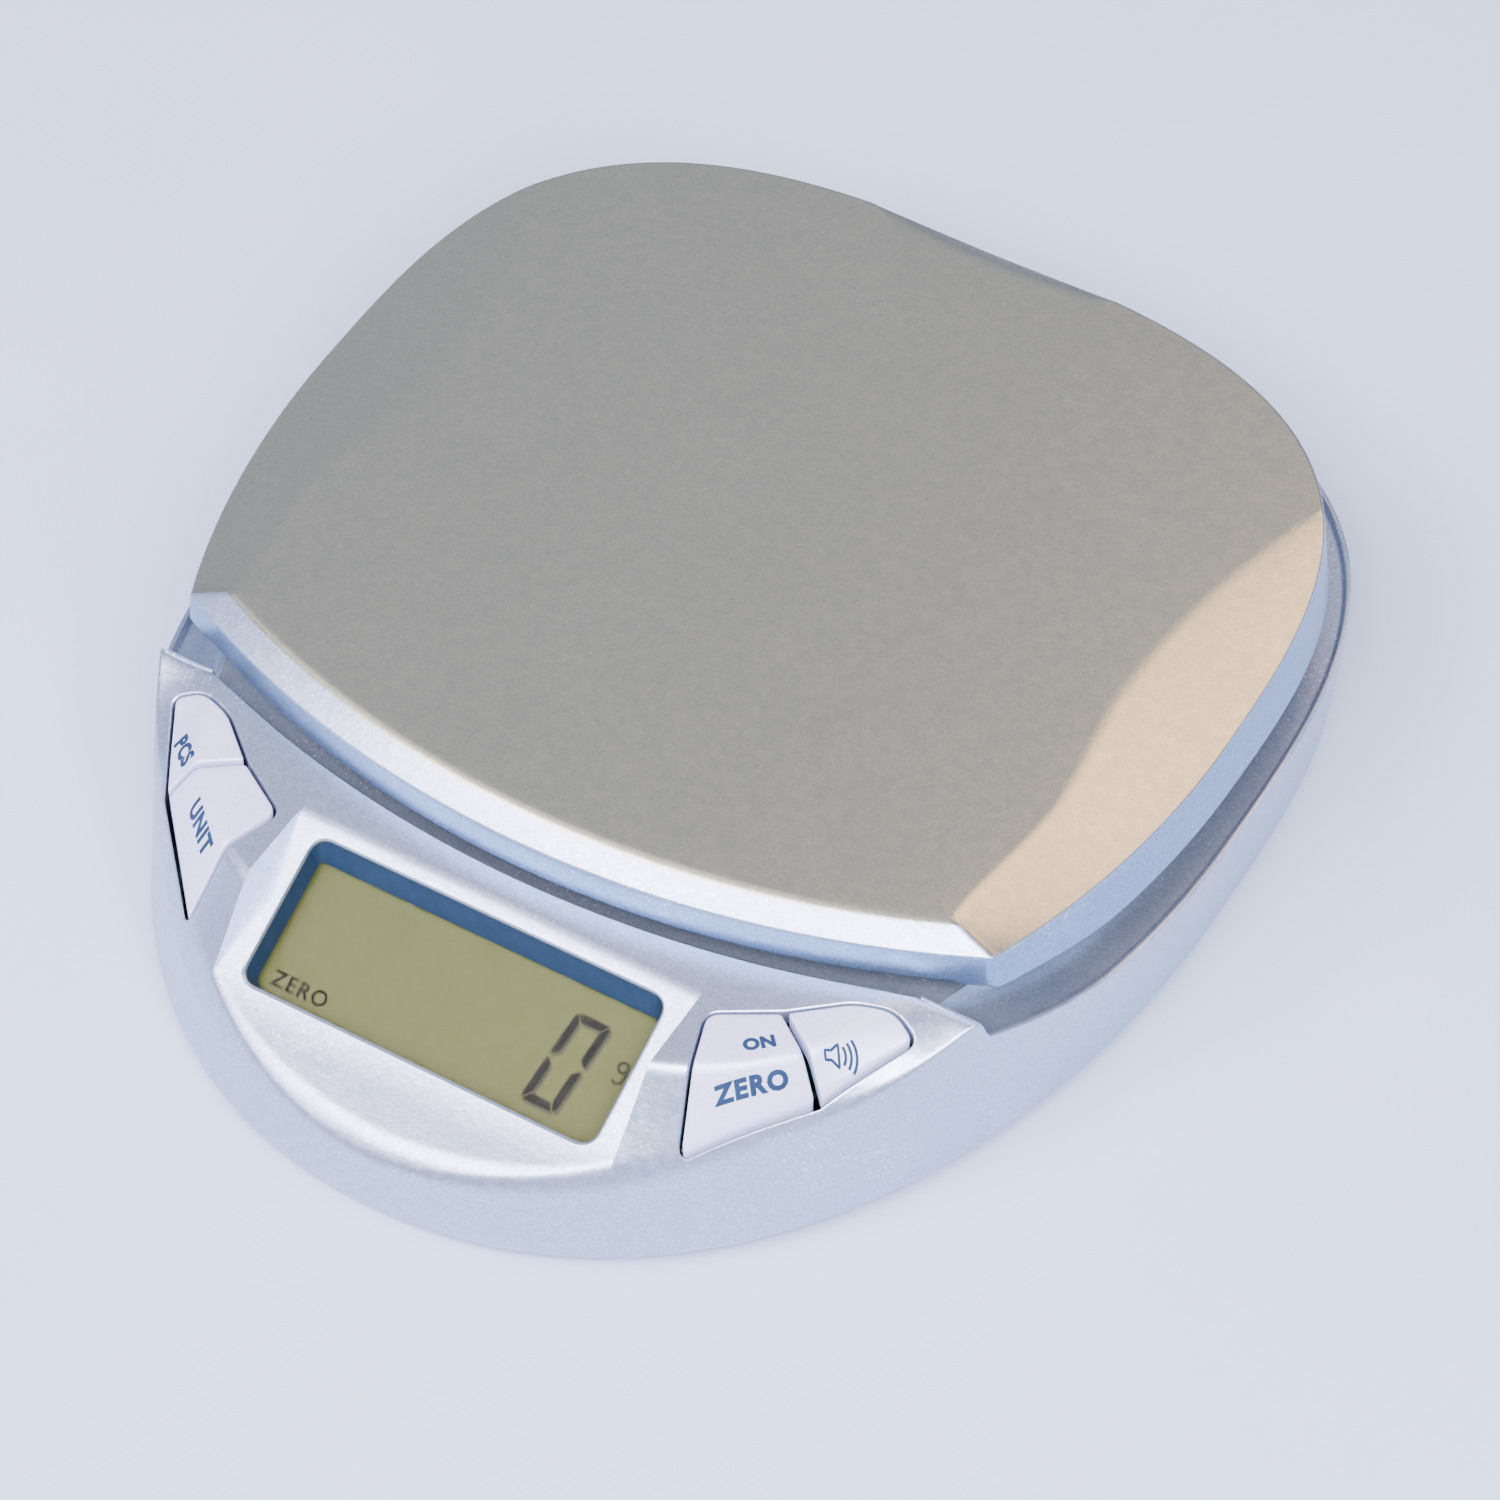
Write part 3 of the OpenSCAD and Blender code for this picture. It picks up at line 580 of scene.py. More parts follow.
def make_recess():
    """Walls of the display recess down to the clear pane; the upper wall leans in."""
    low = round_outline([(23.2, 7.35), (-23.2, 7.35), (-23.2, -9.3), (23.2, -9.3)],
                        [0.7, 0.7, 1.9, 1.9])
    rings = [on_panel(window_outline(0.02), 0.6)]
    for u in (0.08, 0.3, 0.6, 0.9, 1.0):
        rings.append(on_panel(window_outline(0.02) * (1 - u) + low * u, 0.65 + 2.3 * u))
    rings += [on_panel(window_outline(1.0), 2.98), on_panel(window_outline(1.0), 0.6)]
    n = len(rings[0])
    verts = np.concatenate(rings)
    faces = ring_faces(0, len(rings), n)
    last = (len(rings) - 1) * n
    faces += [(last + i, last + (i + 1) % n, (i + 1) % n, i) for i in range(n)]
    return piece("display_recess", verts, faces, "housing", 40)


# ---------------------------------------------------------------- platform

def platform_plan(count_front, count_side, count_back):
    """Right half of the platform's upper edge, and its whole front from left to right."""
    t = np.linspace(-0.5 * math.pi, 0.5 * math.pi, 12001)
    x, y = oval(t, 63.15, PLATE_MID_Y, 85.4, 57.3, 2, 3)
    arc_y = bowed(np.minimum(x, 60), PLATE_FRONT_Y, PLATE_FRONT_R)
    after = np.argmax((y > arc_y) & (x > 40))
    front_x = np.linspace(-x[after], x[after], count_front)
    front = np.column_stack([front_x, bowed(front_x, PLATE_FRONT_Y, PLATE_FRONT_R)])
    x, y = x[after:], y[after:]
    side_end = int(np.argmax(y > PLATE_BACK_Y))
    side = even_run(x[:side_end], y[:side_end], count_side)
    back = even_run(x[side_end - 1:], y[side_end - 1:], count_back)
    return front, side, back


def facet_edge(x, y, corner_y):
    """Where the long side facet meets the flat top, and how high its outer edge is."""
    if y < FACET_WAIST_Y:
        inner_x = FACET_WAIST_X + 2.0 * math.sin(math.pi * (FACET_WAIST_Y - y) / 41.3) ** 2
    else:
        inner_x = FACET_WAIST_X + 6.3 * ((y - FACET_WAIST_Y) / 36.3) ** 2
    inner_x = min(inner_x, abs(x) - 0.35)
    follow = (y - corner_y) / (PLATE_BACK_Y - corner_y)
    inner_y = y + (-28.5 - corner_y) * (1 - min(1, follow * 3)) ** 2
    rise = (y - corner_y) / (48.8 - corner_y)
    edge_z = min(BEVEL_Z + 2.36 * min(1.0, max(0.0, rise)) ** 2.5 - 0.12, 31.88)
    return np.array([math.copysign(inner_x, x), inner_y]), edge_z


def platform_profile(p, outward, where, corner):
    """Points from under the skirt over the bevel or facet to the flat top, at one place."""
    x, y = p
    low_z = 22.4 + 1.9 * smoothstep((-10 - y) / 20.0)
    if where == "front":
        top_x = PLATE_TOP_CORNER_X * x / corner[0]
        top = np.array([top_x, bowed(top_x, PLATE_TOP_FRONT_Y, PLATE_TOP_FRONT_R)])
        edge_z = BEVEL_Z
        outward = np.array([0.0, -1.0])
        low_z = 25.2 - 0.6 * smoothstep((abs(x) - 51.0) / 1.0)
    elif where == "side":
        top, edge_z = facet_edge(x, y, corner[1])
    else:
        lens = max(0.0, 1 - (x / BACK_LENS_HALF) ** 2)
        top = p - outward * (0.4 + 2.2 * math.sqrt(lens) * min(1, lens * 3))
        edge_z = 31.86 - 0.85 * lens ** 0.8
    flare = 0.13 * (edge_z - low_z) * (0.2 if where == "front" else 1)
    if where == "side" and y < corner[1] + 3:
        w = smoothstep((y - corner[1]) / 3.0)
        outward = outward * w + np.array([math.copysign(0.55, x), -0.45]) * (1 - w)

    def out(q, z):
        return np.array([p[0] + outward[0] * q, p[1] + outward[1] * q, z])

    return rounded([out(flare - 2.0, low_z + 0.2), out(flare, low_z), out(0, edge_z),
                    np.array([top[0], top[1], TOP_Z]),
                    np.array([top[0] * 0.9, (top[1] - 8) * 0.9 + 8, TOP_Z])],
                   [0.4, 0.3, 1.0], 6)


def make_platform():
    """The plate: profiles round its outline, then rings to the middle, above and below."""
    front, side, back = platform_plan(141, 131, 61)
    flip = np.array([-1, 1])
    outline = np.concatenate([front, side[1:], back[1:], (back * flip)[::-1][1:],
                              (side * flip)[::-1][1:-1]])
    kind = (["front"] * len(front) + ["side"] * (len(side) - 1) + ["back"] * (2 * len(back) - 2)
            + ["side"] * (len(side) - 2))
    normal = plan_normals(outline)
    outer = np.array([platform_profile(p, away, where, front[-1])
                      for p, away, where in zip(outline, normal, kind)])
    centre = np.array([0.0, 8.0])
    tops = []
    for s in np.linspace(1, 0.04, 26)[1:]:
        ring = outer[:, -1, :].copy()
        ring[:, :2] = centre + (ring[:, :2] - centre) * s
        tops.append(ring)
    inset = outline - normal * 2.0
    n = len(outline)
    under = np.column_stack([inset, np.full(n, TOP_Z - 3.6)])
    ceiling = np.column_stack([centre + (inset - centre) * 0.93, np.full(n, TOP_Z - 2.2)])
    verts, faces = stack_solid([ceiling, under] + [outer[:, j, :] for j in range(outer.shape[1])] + tops)
    return piece("platform_body", verts, faces, "platter", 40, ["platform"])


# ---------------------------------------------------------------- keys

def make_key(name, points, radii, post_xy, body, node):
    """A key with a face that follows the front, a soft rim and a post down to its plunger."""
    outline = even_outline(round_outline(points, radii), 0.45)
    centre = outline.mean(axis=0)
    rings = []
    for s in np.linspace(0.06, 0.86, 15):
        plan = centre + (outline - centre) * s
        rings.append(np.column_stack([plan, key_height(plan[:, 0], plan[:, 1])]))
    for inset, drop in ((0.34, 0.0), (0.22, 0.03), (0.12, 0.09), (0.05, 0.18), (0.01, 0.3), (0, 0.42),
                        (0, 1.4), (0, 2.4)):
        plan = grown(outline, -inset)
        rings.append(np.column_stack([plan, key_height(plan[:, 0], plan[:, 1]) - drop]))
    for s in (0.9, 0.5, 0.15):
        plan = centre + (outline - centre) * s
        rings.append(np.column_stack([plan, key_height(plan[:, 0], plan[:, 1]) - 2.4]))
    verts, faces = stack_solid(rings)
    a = np.linspace(0, 2 * math.pi, 25)[:-1]
    circle = np.column_stack([post_xy[0] + 1.6 * np.cos(a), post_xy[1] + 1.6 * np.sin(a)])
    top = float(key_height(np.array(post_xy[0]), np.array(post_xy[1]))) - 2.0
    post, post_faces = stack_solid([np.column_stack([circle, np.full(24, z)]) for z in (top, 13.0)])
    faces = faces + [tuple(i + len(verts) for i in f) for f in post_faces]
    verts = np.concatenate([verts, post])
    return piece(name, verts, faces, body, 50, [node])


def make_keys():
    for sign, inner_name, outer_name in ((1, "on_zero", "sound"), (-1, "unit", "count")):
        for name, points, radii, post in ((inner_name, INNER_KEY, INNER_RADII, INNER_POST),
                                          (outer_name, OUTER_KEY, OUTER_RADII, OUTER_POST)):
            if sign < 0:
                points, radii = mirrored(points), radii[::-1]
            make_key(name + "_cap", points, radii, (sign * post[0], post[1]),
                     name + "_button", name + "_key")


# ---------------------------------------------------------------- printed legends and display

def text_plan(words, size, spacing, bold):
    """Flat triangles of a word in mm, centred on its own box."""
    curve = bpy.data.curves.new("words", "FONT")
    curve.body = words
    curve.size = size
    curve.space_character = spacing
    curve.offset = bold
    curve.resolution_u = 3
    obj = bpy.data.objects.new("words", curve)
    bpy.context.scene.collection.objects.link(obj)
    depsgraph = bpy.context.evaluated_depsgraph_get()
    mesh = bpy.data.meshes.new_from_object(obj.evaluated_get(depsgraph))
    bpy.data.objects.remove(obj)
    bm = bmesh.new()
    bm.from_mesh(mesh)
    verts, faces = finely_split(bm)
    return verts - (verts.max(axis=0) + verts.min(axis=0)) / 2, faces


def finely_split(bm):
    """Triangles of a flat mesh, split until no side is longer than 0.4, so that they can be draped."""
    bmesh.ops.remove_doubles(bm, verts=bm.verts, dist=1e-5)
    bmesh.ops.triangulate(bm, faces=bm.faces)
    for _ in range(4):
        long_edges = [e for e in bm.edges if e.calc_length() > 0.4]
        bmesh.ops.subdivide_edges(bm, edges=long_edges, cuts=1)
        bmesh.ops.triangulate(bm, faces=bm.faces)
    bm.verts.index_update()
    verts = np.array([v.co[:2] for v in bm.verts])
    faces = [tuple(v.index for v in f.verts) for f in bm.faces]
    bm.free()
    return verts, faces


def bar_plan(points):
    """One convex outline as triangles."""
    bm = bmesh.new()
    bm.faces.new([bm.verts.new((x, y, 0)) for x, y in points])
    return finely_split(bm)


def stroke_plan(points, width, closed=False):
    """A line of even width along points."""
    p = np.array(points, float)
    if closed:
        tangent = np.roll(p, -1, axis=0) - np.roll(p, 1, axis=0)
    else:
        tangent = np.gradient(p, axis=0)
    tangent /= np.linalg.norm(tangent, axis=1, keepdims=True)
    side = np.stack([-tangent[:, 1], tangent[:, 0]], 1) * width / 2
    n = len(p)
    bm = bmesh.new()
    left = [bm.verts.new((*v, 0)) for v in p + side]
    right = [bm.verts.new((*v, 0)) for v in p - side]
    for k in range(n if closed else n - 1):
        j = (k + 1) % n
        bm.faces.new([left[k], right[k], right[j], left[j]])
    return finely_split(bm)


def merge_plans(plans):
    verts, faces, count = [], [], 0
    for v, f in plans:
        verts.append(v)
        faces += [tuple(i + count for i in face) for face in f]
        count += len(v)
    return np.concatenate(verts), faces


def thin_solid(verts, faces, place, thickness):
    """Closed thin solid from flat triangles; place(plan, lift) gives points in the row frame."""
    low, high = place(verts, 0.0), place(verts, thickness)
    n = len(verts)
    faces = [f if turn(verts[list(f)]) > 0 else f[::-1] for f in faces]
    edges = {}
    for f in faces:
        for a, b in zip(f, f[1:] + f[:1]):
            edges[(a, b)] = edges.get((a, b), 0) + 1
    rim = [(a, b) for a, b in edges if (b, a) not in edges]
    out = [tuple(i + n for i in f) for f in faces] + [f[::-1] for f in faces]
    out += [(a, b, b + n, a + n) for a, b in rim]
    return np.concatenate([low, high]), out


def legend(name, plan, centre, angle, body, scale_y):
    """A flat plan turned, moved to centre and laid on a key's face."""
    verts, faces = plan
    c, s = math.cos(math.radians(angle)), math.sin(math.radians(angle))

    def place(v, lift):
        x, y = v[:, 0], v[:, 1] * scale_y
        px, py = centre[0] + x * c - y * s, centre[1] + x * s + y * c
        return np.column_stack([px, py, key_height(px, py) + 0.005 + lift])

    v, f = thin_solid(verts, faces, place, 0.03)
    return piece(name, v, f, body, 30)


def arc(centre, radius, start, end, count=13):
    a = np.radians(np.linspace(start, end, count))
    return np.column_stack([centre[0] + radius * np.cos(a), centre[1] + radius * np.sin(a)])


def speaker_plan():
    """The outline of a small horn with three sound waves."""
    horn = even_outline(np.array([(-2.3, -0.45), (-1.6, -0.45), (-0.75, -1.15), (-0.75, 1.15),
                                  (-1.6, 0.45), (-2.3, 0.45)]), 0.25)
    parts = [stroke_plan(horn, 0.3, True)]
    for radius in (1.5, 2.15, 2.8):
        parts.append(stroke_plan(arc((-1.45, 0), radius, -36, 36), 0.33))
    return merge_plans(parts)


def make_legends():
    bold = 0.14
    return [legend("legend_on", text_plan("ON", 2.3, 1.06, bold), (36.6, -50.15), 42,
                   "on_zero_button", 0.95),
            legend("legend_zero", text_plan("ZERO", 3.0, 1.16, 0.16), (38.0, -54.3), 44,
                   "on_zero_button", 0.58),
            legend("legend_sound", speaker_plan(), (45.3, -45.7), 38, "sound_button", 0.85),
            legend("legend_unit", text_plan("UNIT", 2.7, 1.12, bold), (-36.6, -54.8), -43,
                   "unit_button", 0.75),
            legend("legend_pcs", text_plan("PCS", 2.5, 1.1, bold), (-44.9, -46.1), -42,
                   "count_button", 0.9)]


def segment_plans():
    """The six lit segments of a leaning nought, in panel coordinates."""
    low, high = -7.4, 4.4
    x0, width, lean, bar = 12.05, 4.75, 1.45, 1.0

    def at(u, v):
        return (x0 + u * width + lean * (v - low) / (high - low), v)

    mid = (low + high) / 2
    g = 0.32
    t = bar / width
    return [[at(t * 0.55, high), at(1 - t * 0.35, high), at(1 - t, high - bar), at(t * 1.15, high - bar)],
            [at(t * 0.35, low), at(1 - t * 0.55, low), at(1 - t * 1.15, low + bar), at(t, low + bar)],
            [at(0, high - 0.5), at(t * 0.35, high - 0.12), at(t, high - bar - g), at(t, mid + 0.85),
             at(t * 0.1, mid + 0.25), at(0, mid + 0.35)],
            [at(1, high - 0.35), at(1, mid + 0.35), at(1 - t * 0.2, mid + 0.25), at(1 - t, mid + 0.95),
             at(1 - t, high - bar - g), at(1 - t * 0.2, high - 0.14)],
            [at(0, mid - 0.35), at(t * 0.2, mid - 0.25), at(t, mid - 0.95), at(t, low + bar + g),
             at(t * 0.2, low + 0.14), at(0, low + 0.35)],
            [at(1, mid - 0.35), at(1, low + 0.5), at(1 - t * 0.35, low + 0.12),
             at(1 - t, low + bar + g), at(1 - t, mid - 0.85), at(1 - t * 0.1, mid - 0.25)]]


def shifted(plan, x, y):
    return plan[0] + np.array([x, y]), plan[1]


def make_display_marks():
    """The digit, the word and the gram sign on the display, and the digit's shadow."""
    digit = merge_plans([bar_plan(p) for p in segment_plans()])
    zero = shifted(text_plan("ZERO", 2.75, 1.14, 0.05), -18.3, -7.15)
    bowl = stroke_plan(arc((21.7, 0.75), 0.62, 0, 345, 24), 0.32, True)
    stem = [(22.35, 0.9), (22.37, 0.5), (22.37, 0.1), (22.37, -0.3)]
    tail = stroke_plan(np.concatenate([stem, arc((21.65, -0.55), 0.7, -5, -150)]), 0.32)
    marks = merge_plans([digit, zero, bowl, tail])

    def on_glass(v, lift):
        return on_panel(v, LCD_DEPTH - 0.008 - lift)

    def shadow_place(v, lift):
        return on_panel(v + np.array([0.42, -0.35]), LCD_DEPTH - 0.002 - lift)

    v, f = thin_solid(*marks, on_glass, 0.02)
    lit = piece("display_segments", v, f, "housing", 30)
    v, f = thin_solid(*digit, shadow_place, 0.004)
    shade = piece("display_segment_shadow", v, f, "housing", 30)
    return lit, shade


# ---------------------------------------------------------------- load cell

def make_bending(node):
    """A copy of a load cell part, cut across every 2 mm along its length, that takes the imported part's
    place.
    """
    source = frame["nodes"][node]
    bpy.context.view_layer.update()
    bar = bpy.data.objects.new(node + "_bending", source.data.copy())
    bar.matrix_world = source.matrix_world.copy()
    bpy.context.scene.collection.objects.link(bar)
    bm = bmesh.new()
    bm.from_mesh(bar.data)
    for x in np.arange(-16, 17, 2) * MM:
        parts = bm.verts[:] + bm.edges[:] + bm.faces[:]
        bmesh.ops.bisect_plane(bm, geom=parts, plane_co=(x, 0, 0), plane_no=(1, 0, 0))
    bm.to_mesh(bar.data)
    bm.free()
    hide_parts(node)
    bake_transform(bar)
    return bar


# ---------------------------------------------------------------- materials

class Nodes:
    """Short way to write a node material."""

    def __init__(self, name):
        self.material = bpy.data.materials.new(name)
        self.material.use_nodes = True
        self.tree = self.material.node_tree
        self.shader = self.tree.nodes["Principled BSDF"]
        self.coords = self.add("ShaderNodeTexCoord").outputs["Object"]

    def add(self, kind, **values):
        node = self.tree.nodes.new(kind)
        for key, value in values.items():
            setattr(node, key, value)
        return node

    def link(self, a, b):
        self.tree.links.new(a, b)

    def noise(self, scale, detail=2.0):
        node = self.add("ShaderNodeTexNoise")
        node.inputs["Scale"].default_value = scale
        node.inputs["Detail"].default_value = detail
        self.link(self.coords, node.inputs["Vector"])
        return node.outputs["Fac"]

    def cells(self, scale):
        """One random value for each small cell."""
        node = self.add("ShaderNodeTexVoronoi")
        node.inputs["Scale"].default_value = scale
        self.link(self.coords, node.inputs["Vector"])
        split = self.add("ShaderNodeSeparateColor")
        self.link(node.outputs["Color"], split.inputs["Color"])
        return split.outputs["Red"]

    def ramp(self, value, stops):
        """A colour for each value, by (position, colour) stops."""
        node = self.add("ShaderNodeValToRGB")
        self.link(value, node.inputs["Fac"])
        elements = node.color_ramp.elements
        while len(elements) < len(stops):
            elements.new(0.5)
        for element, (at, colour) in zip(elements, stops):
            element.position = at
            element.color = (*colour, 1)
        return node.outputs["Color"]

    def span(self, value, low, high, start=0.0, end=1.0):
        """value from start to end, moved to low to high."""
        node = self.add("ShaderNodeMapRange")
        node.inputs["From Min"].default_value = start
        node.inputs["From Max"].default_value = end
        node.inputs["To Min"].default_value = low
        node.inputs["To Max"].default_value = high
        self.link(value, node.inputs["Value"])
        return node.outputs["Result"]

    def maths(self, kind, a, b):
        node = self.add("ShaderNodeMath", operation=kind)
        for socket, value in zip(node.inputs, (a, b)):
            if isinstance(value, (int, float)):
                socket.default_value = value
            else:
                self.link(value, socket)
        return node.outputs["Value"]

    def colour(self, socket):
        self.link(socket, self.shader.inputs["Base Color"])

    def rough(self, socket):
        self.link(socket, self.shader.inputs["Roughness"])

    def bump(self, height, strength, distance):
        node = self.add("ShaderNodeBump")
        node.inputs["Strength"].default_value = strength
        node.inputs["Distance"].default_value = distance
        self.link(height, node.inputs["Height"])
        self.link(node.outputs["Normal"], self.shader.inputs["Normal"])

    def put(self, **values):
        """Constant values for the shader's own sockets, with _ for a space."""
        for key, value in values.items():
            self.shader.inputs[key.replace("_", " ")].default_value = value


def flake_paint(name, dark, light, sparkle, metallic, roughness, peel):
    """Silver paint: metal flakes of slightly different tone, a few bright ones, fine orange peel. The colours
    given also carry painted light: a blue cast on the shell, a warm cast on the platform and a painted blue
    reflection on the skirt.
    """
    m = Nodes(name)
    mixed = m.maths("ADD", m.maths("MULTIPLY", m.cells(4200), 0.65),
                    m.maths("MULTIPLY", m.noise(60, 3), 0.3))
    m.colour(m.ramp(mixed, [(0.1, dark), (0.7, light), (0.79, light), (0.84, sparkle)]))
    m.rough(m.span(m.noise(700, 2), roughness * 0.9, roughness * 1.1, 0.3, 0.7))
    m.put(Metallic=metallic)
    grain = m.maths("ADD", m.noise(1500, 2), m.maths("MULTIPLY", m.noise(420, 2), 1.2))
    m.bump(grain, peel, 0.0002)
    return m.material


def key_paint():
    """Pale lavender paint of the keys, with fine flakes over a soft cloud."""
    m = Nodes("key_finish")
    mixed = m.maths("ADD", m.maths("MULTIPLY", m.cells(5200), 0.5), m.maths("MULTIPLY", m.noise(240), 0.5))
    m.colour(m.ramp(mixed, [(0.1, (0.54, 0.56, 0.84)), (0.9, (0.70, 0.72, 0.97))]))
    m.rough(m.span(m.noise(900), 0.34, 0.44))
    m.put(Metallic=0.25)
    m.bump(m.noise(1300, 2), 0.10, 0.0002)
    return m.material


def plain_finish(name, colour, spread, roughness, metallic=0.0, peel=0.12, **sockets):
    """Moulded or metal finish with a slight mottle, uneven gloss and a fine grain."""
    m = Nodes(name)
    dark = tuple(c * (1 - spread) for c in colour)
    light = tuple(min(1, c * (1 + spread)) for c in colour)
    m.colour(m.ramp(m.noise(700, 4), [(0.3, dark), (0.7, light)]))
    m.rough(m.span(m.noise(420, 3), roughness * 0.85, min(1, roughness * 1.15), 0.3, 0.7))
    m.bump(m.noise(1750, 3), peel, 0.0002)
    m.put(Metallic=metallic, **sockets)
    return m.material


def brushed(name, colour, roughness):
    """Metal with fine lines along X."""
    m = Nodes(name)
    mapping = m.add("ShaderNodeMapping")
    mapping.inputs["Scale"].default_value = (1, 24, 24)
    m.link(m.coords, mapping.inputs["Vector"])
    m.coords = mapping.outputs["Vector"]
    lines = m.noise(160, 4)
    m.colour(m.ramp(lines, [(0.3, tuple(c * 0.86 for c in colour)), (0.7, colour)]))
    m.rough(m.span(lines, roughness * 0.8, roughness * 1.2, 0.3, 0.7))
    m.bump(lines, 0.15, 0.0001)
    m.put(Metallic=1.0)
    return m.material


def lcd_finish():
    """Grey-green display glass with a faint cloud."""
    m = Nodes("lcd_finish")
    cloud = m.noise(35, 3)
    m.colour(m.ramp(cloud, [(0.25, (0.080, 0.090, 0.026)), (0.75, (0.090, 0.100, 0.030))]))
    m.rough(m.span(m.noise(1800, 2), 0.5, 0.62))
    m.put(Specular_IOR_Level=0.0)
    m.bump(m.noise(3000, 2), 0.05, 0.0001)
    return m.material


def clear_finish():
    """Clear pane: nearly nothing but its gloss."""
    m = Nodes("clear_pane")
    m.colour(m.ramp(m.noise(300, 2), [(0.3, (0.02, 0.025, 0.025)), (0.7, (0.03, 0.035, 0.03))]))
    m.rough(m.span(m.noise(400, 2), 0.03, 0.07))
    m.put(Alpha=0.05)
    return m.material


def shadow_finish():
    """Soft shadow that the lit segments cast on the layer behind them."""
    m = Nodes("segment_shadow")
    m.colour(m.ramp(m.noise(500, 2), [(0.3, (0.018, 0.02, 0.01)), (0.7, (0.024, 0.026, 0.014))]))
    m.put(Roughness=0.8, Alpha=0.35)
    return m.material


def board_finish():
    """Green solder mask with copper tracks showing through as lighter lines."""
    m = Nodes("board_finish")
    tracks = m.add("ShaderNodeTexBrick")
    tracks.inputs["Scale"].default_value = 90
    tracks.inputs["Mortar Size"].default_value = 0.03
    tracks.inputs["Color1"].default_value = (0.012, 0.12, 0.05, 1)
    tracks.inputs["Color2"].default_value = (0.018, 0.15, 0.06, 1)
    tracks.inputs["Mortar"].default_value = (0.05, 0.26, 0.10, 1)
    m.link(m.coords, tracks.inputs["Vector"])
    m.colour(tracks.outputs["Color"])
    m.rough(m.span(m.noise(500, 2), 0.3, 0.42))
    m.bump(tracks.outputs["Fac"], 0.3, 0.0001)
    return m.material


def battery_finish():
    """Printed wrap: two plain bands along the cell, and bare steel at its end."""
    m = Nodes("battery_finish")
    split = m.add("ShaderNodeSeparateXYZ")
    m.link(m.coords, split.inputs["Vector"])
    band = m.span(split.outputs["X"], 0, 1, -0.022, 0.022)
    m.colour(m.ramp(band, [(0.02, (0.55, 0.55, 0.57)), (0.05, (0.05, 0.05, 0.06)),
                           (0.72, (0.05, 0.05, 0.06)), (0.76, (0.55, 0.32, 0.08))]))
    m.rough(m.span(m.noise(300, 2), 0.22, 0.34))
    m.put(Metallic=0.5)
    m.bump(m.noise(900, 2), 0.05, 0.0001)
    return m.material


def make_materials():
    """The record's material slots, and the finishes that exist only in the picture, among them painted shade
    on the display recess walls and a painted blue reflection on the platform's skirt.
    """
    return {
        # The shell's blue-grey is partly its silver paint and partly painted blue light.
        "silver_shell": flake_paint("silver_paint_and_blue_light", (0.33, 0.40, 0.54), (0.45, 0.52, 0.66),
                                    (0.80, 0.87, 1.0), 0.8, 0.31, 0.10),
        # The platform's warm grey is partly its paint and partly painted warm light.
        "platform_silver": flake_paint("platform_paint_and_warm_light", (0.42, 0.41, 0.31), (0.48, 0.47, 0.355),
                                       (0.55, 0.54, 0.42), 0.9, 0.27, 0.035),
        # The skirt's blue is a painted blue reflection on the platform's skirt and underside.
        "skirt": flake_paint("skirt_painted_reflection", (0.15, 0.24, 0.41), (0.24, 0.33, 0.51),
                             (0.55, 0.65, 0.85), 0.8, 0.31, 0.08),
        # The dark blue of the display recess walls is painted shade.
        "recess": plain_finish("recess_painted_shade", (0.014, 0.035, 0.075), 0.12, 0.4, 0.4),
        "key_plastic": key_paint(),
        "legend": plain_finish("legend_ink", (0.012, 0.03, 0.08), 0.15, 0.6, Specular_IOR_Level=0.2),
        "segment": plain_finish("segment_ink", (0.003, 0.0035, 0.0025), 0.12, 0.8,
                                Specular_IOR_Level=0.0),
        "shadow": shadow_finish(),
        "window_clear": clear_finish(),
        "lcd_grey": lcd_finish(),
        "reflector": plain_finish("reflector", (0.32, 0.33, 0.22), 0.06, 0.5),
        "white_plastic": plain_finish("white_moulding", (0.78, 0.78, 0.75), 0.05, 0.5),
        "black_plastic": plain_finish("black_moulding", (0.02, 0.02, 0.023), 0.2, 0.45),
        "rubber_dark": plain_finish("rubber", (0.03, 0.03, 0.033), 0.2, 0.75, peel=0.35),
        "amber_film": plain_finish("amber_film", (0.27, 0.09, 0.012), 0.12, 0.3),
        "board_green": board_finish(),
        "plunger_red": plain_finish("plunger_red", (0.55, 0.03, 0.015), 0.1, 0.45),
        "cell_bar": brushed("milled_aluminium", (0.74, 0.75, 0.77), 0.32),
        "gauge_coating": plain_finish("gauge_coating", (0.80, 0.79, 0.72), 0.06, 0.4),
        "steel": plain_finish("zinc_plate", (0.62, 0.63, 0.66), 0.08, 0.3, 1.0),
        "wire_white": plain_finish("wire_white", (0.75, 0.75, 0.76), 0.06, 0.45),
        "wire_red": plain_finish("wire_red", (0.5, 0.02, 0.015), 0.1, 0.4),
        "cell_wrap": battery_finish(),
        "foil": brushed("blank_foil", (0.7, 0.7, 0.69), 0.4),
    }


# ---------------------------------------------------------------- scene

def make_floor():
    s = 3.0
    mesh = bpy.data.meshes.new("floor")
    mesh.from_pydata([(-s, -s, 0), (s, -s, 0), (s, s, 0), (-s, s, 0)], [], [(0, 1, 2, 3)])
    floor = bpy.data.objects.new("floor", mesh)
    floor.location.z = -0.05 * MM
    bpy.context.scene.collection.objects.link(floor)
    m = Nodes("floor_paper")
    m.colour(m.ramp(m.noise(20, 3), [(0.3, (0.45, 0.54, 0.72)), (0.7, (0.48, 0.57, 0.75))]))
    m.put(Roughness=0.9)
    mesh.materials.append(m.material)


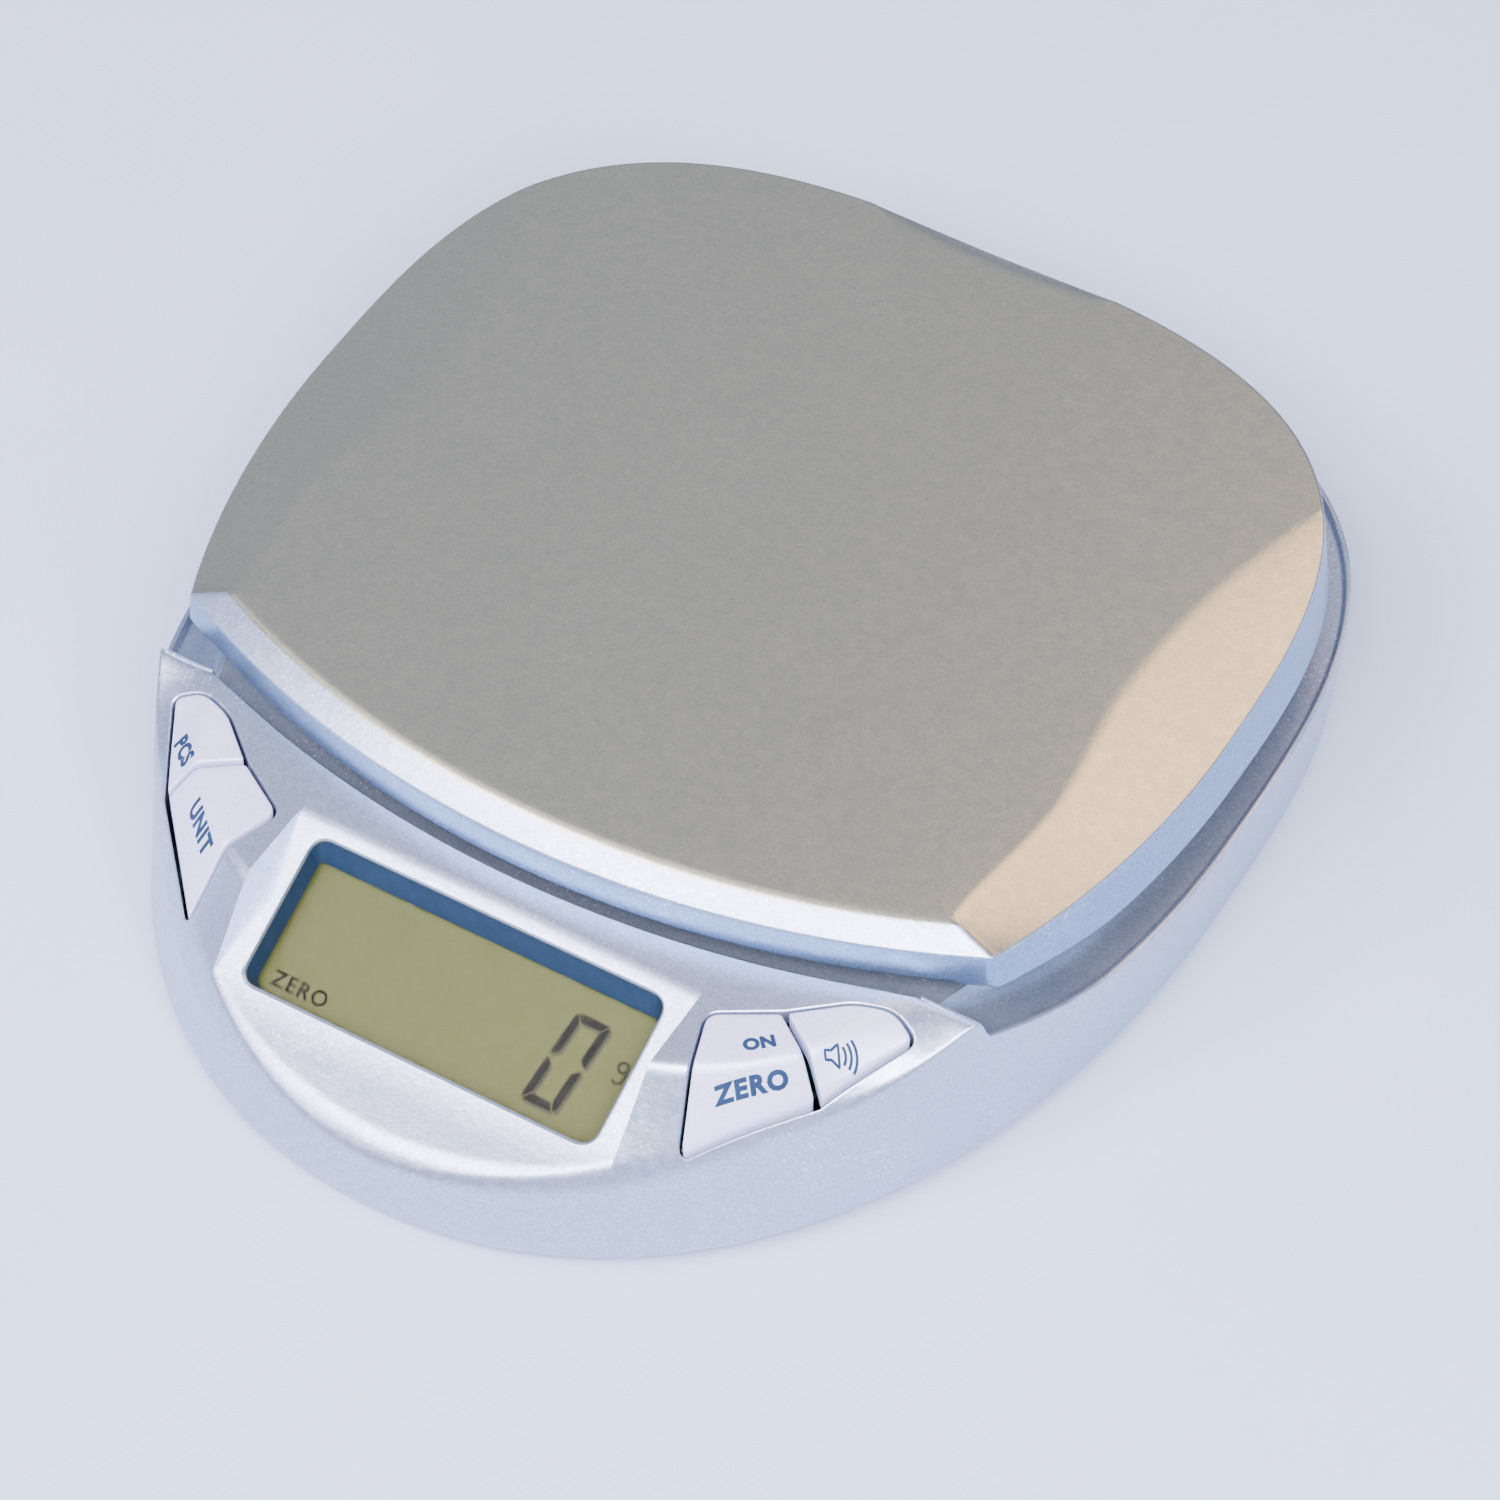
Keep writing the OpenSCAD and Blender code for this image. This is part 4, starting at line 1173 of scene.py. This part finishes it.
def area_light(name, azimuth, elevation, distance, size, energy, colour):
    """Soft light that looks at the middle of the scale; azimuth 0 is in front, 90 on the right."""
    a, e = math.radians(azimuth), math.radians(elevation)
    away = Vector((math.sin(a) * math.cos(e), -math.cos(a) * math.cos(e), math.sin(e)))
    data = bpy.data.lights.new(name, "AREA")
    data.shape = "RECTANGLE"
    data.size, data.size_y = size
    data.energy = energy
    data.color = colour
    light = bpy.data.objects.new(name, data)
    light.location = Vector((0, 0, 0.02)) + away * distance
    light.rotation_euler = away.to_track_quat("Z", "Y").to_euler()
    bpy.context.scene.collection.objects.link(light)


def make_lights():
    """Each light is what one group of faces mirrors from the camera's place."""
    area_light("key_right", 43, 46, 1.0, (0.70, 0.5), 27.0, (1.0, 0.96, 1.0))
    area_light("key_middle", -22, 54, 1.0, (0.75, 0.5), 21.0, (1.0, 0.91, 0.95))
    area_light("key_left", -72, 68, 1.0, (0.6, 0.6), 1.9, (1.0, 0.88, 0.86))
    area_light("low_left", -42, 28, 1.1, (0.5, 0.4), 4.0, (0.95, 0.95, 1.0))
    area_light("warm_back", 163, 56, 1.1, (0.62, 0.42), 4.4, (1.0, 0.61, 0.34))
    area_light("grey_back_left", 222, 41, 1.1, (1.3, 1.1), 1.0, (1.0, 0.97, 0.82))
    area_light("cool_right", 85, 16, 1.2, (1.0, 0.4), 1.0, (0.50, 0.66, 1.0))
    world = bpy.data.worlds.new("studio")
    world.use_nodes = True
    background = world.node_tree.nodes["Background"]
    background.inputs["Color"].default_value = (0.28, 0.47, 1.0, 1)
    background.inputs["Strength"].default_value = 0.55
    bpy.context.scene.world = world


def make_camera():
    azimuth, elevation = math.radians(30.76), math.radians(48.89)
    back = Vector((math.sin(azimuth) * math.cos(elevation), -math.cos(azimuth) * math.cos(elevation),
                   math.sin(elevation)))
    data = bpy.data.cameras.new("camera")
    data.lens = 133.7
    data.sensor_width = 36
    data.clip_start = 0.01
    camera = bpy.data.objects.new("camera", data)
    camera.location = Vector((16.43, -18.25, 32.0)) * MM + back * 0.6479
    camera.rotation_euler = back.to_track_quat("Z", "Y").to_euler()
    bpy.context.scene.collection.objects.link(camera)
    bpy.context.scene.camera = camera


def set_material(obj, material):
    obj.data.materials.clear()
    obj.data.materials.append(material)


def paint_platform_light_by_facing(obj, top_paint_and_light, bevel_painted_light, skirt_painted_reflection):
    """Painted light by facing: the top paint with painted warm light on the nearly level faces, the shell's
    bluer silver on the bevels as painted light, and a painted blue reflection on the skirt and underside.
    """
    set_material(obj, top_paint_and_light)
    obj.data.materials.append(bevel_painted_light)
    obj.data.materials.append(skirt_painted_reflection)
    for face in obj.data.polygons:
        if face.normal.z > 0.89:
            face.material_index = 0
        elif face.normal.z > 0.35:
            face.material_index = 1
        else:
            face.material_index = 2


make_camera()
make_lights()
make_floor()
finish = make_materials()
set_material(make_top_shell(), finish["silver_shell"])
# The recess walls get the painted shade.
set_material(make_recess(), finish["recess"])
paint_platform_light_by_facing(make_platform(), finish["platform_silver"], finish["silver_shell"], finish["skirt"])
for cell_node, cell_slot in (("load_cell", "cell_bar"), ("strain_gauges", "gauge_coating")):
    set_material(make_bending(cell_node), finish[cell_slot])
make_keys()
for key_name in ("on_zero_cap", "sound_cap", "unit_cap", "count_cap"):
    set_material(bpy.data.objects[key_name], finish["key_plastic"])
for mark in make_legends():
    set_material(mark, finish["legend"])
segments, segment_shadow = make_display_marks()
set_material(segments, finish["segment"])
set_material(segment_shadow, finish["shadow"])
for sub in frame["record"]["subparts"]:
    set_material(frame["nodes"][sub["node"]], finish[sub["material_slot"]])
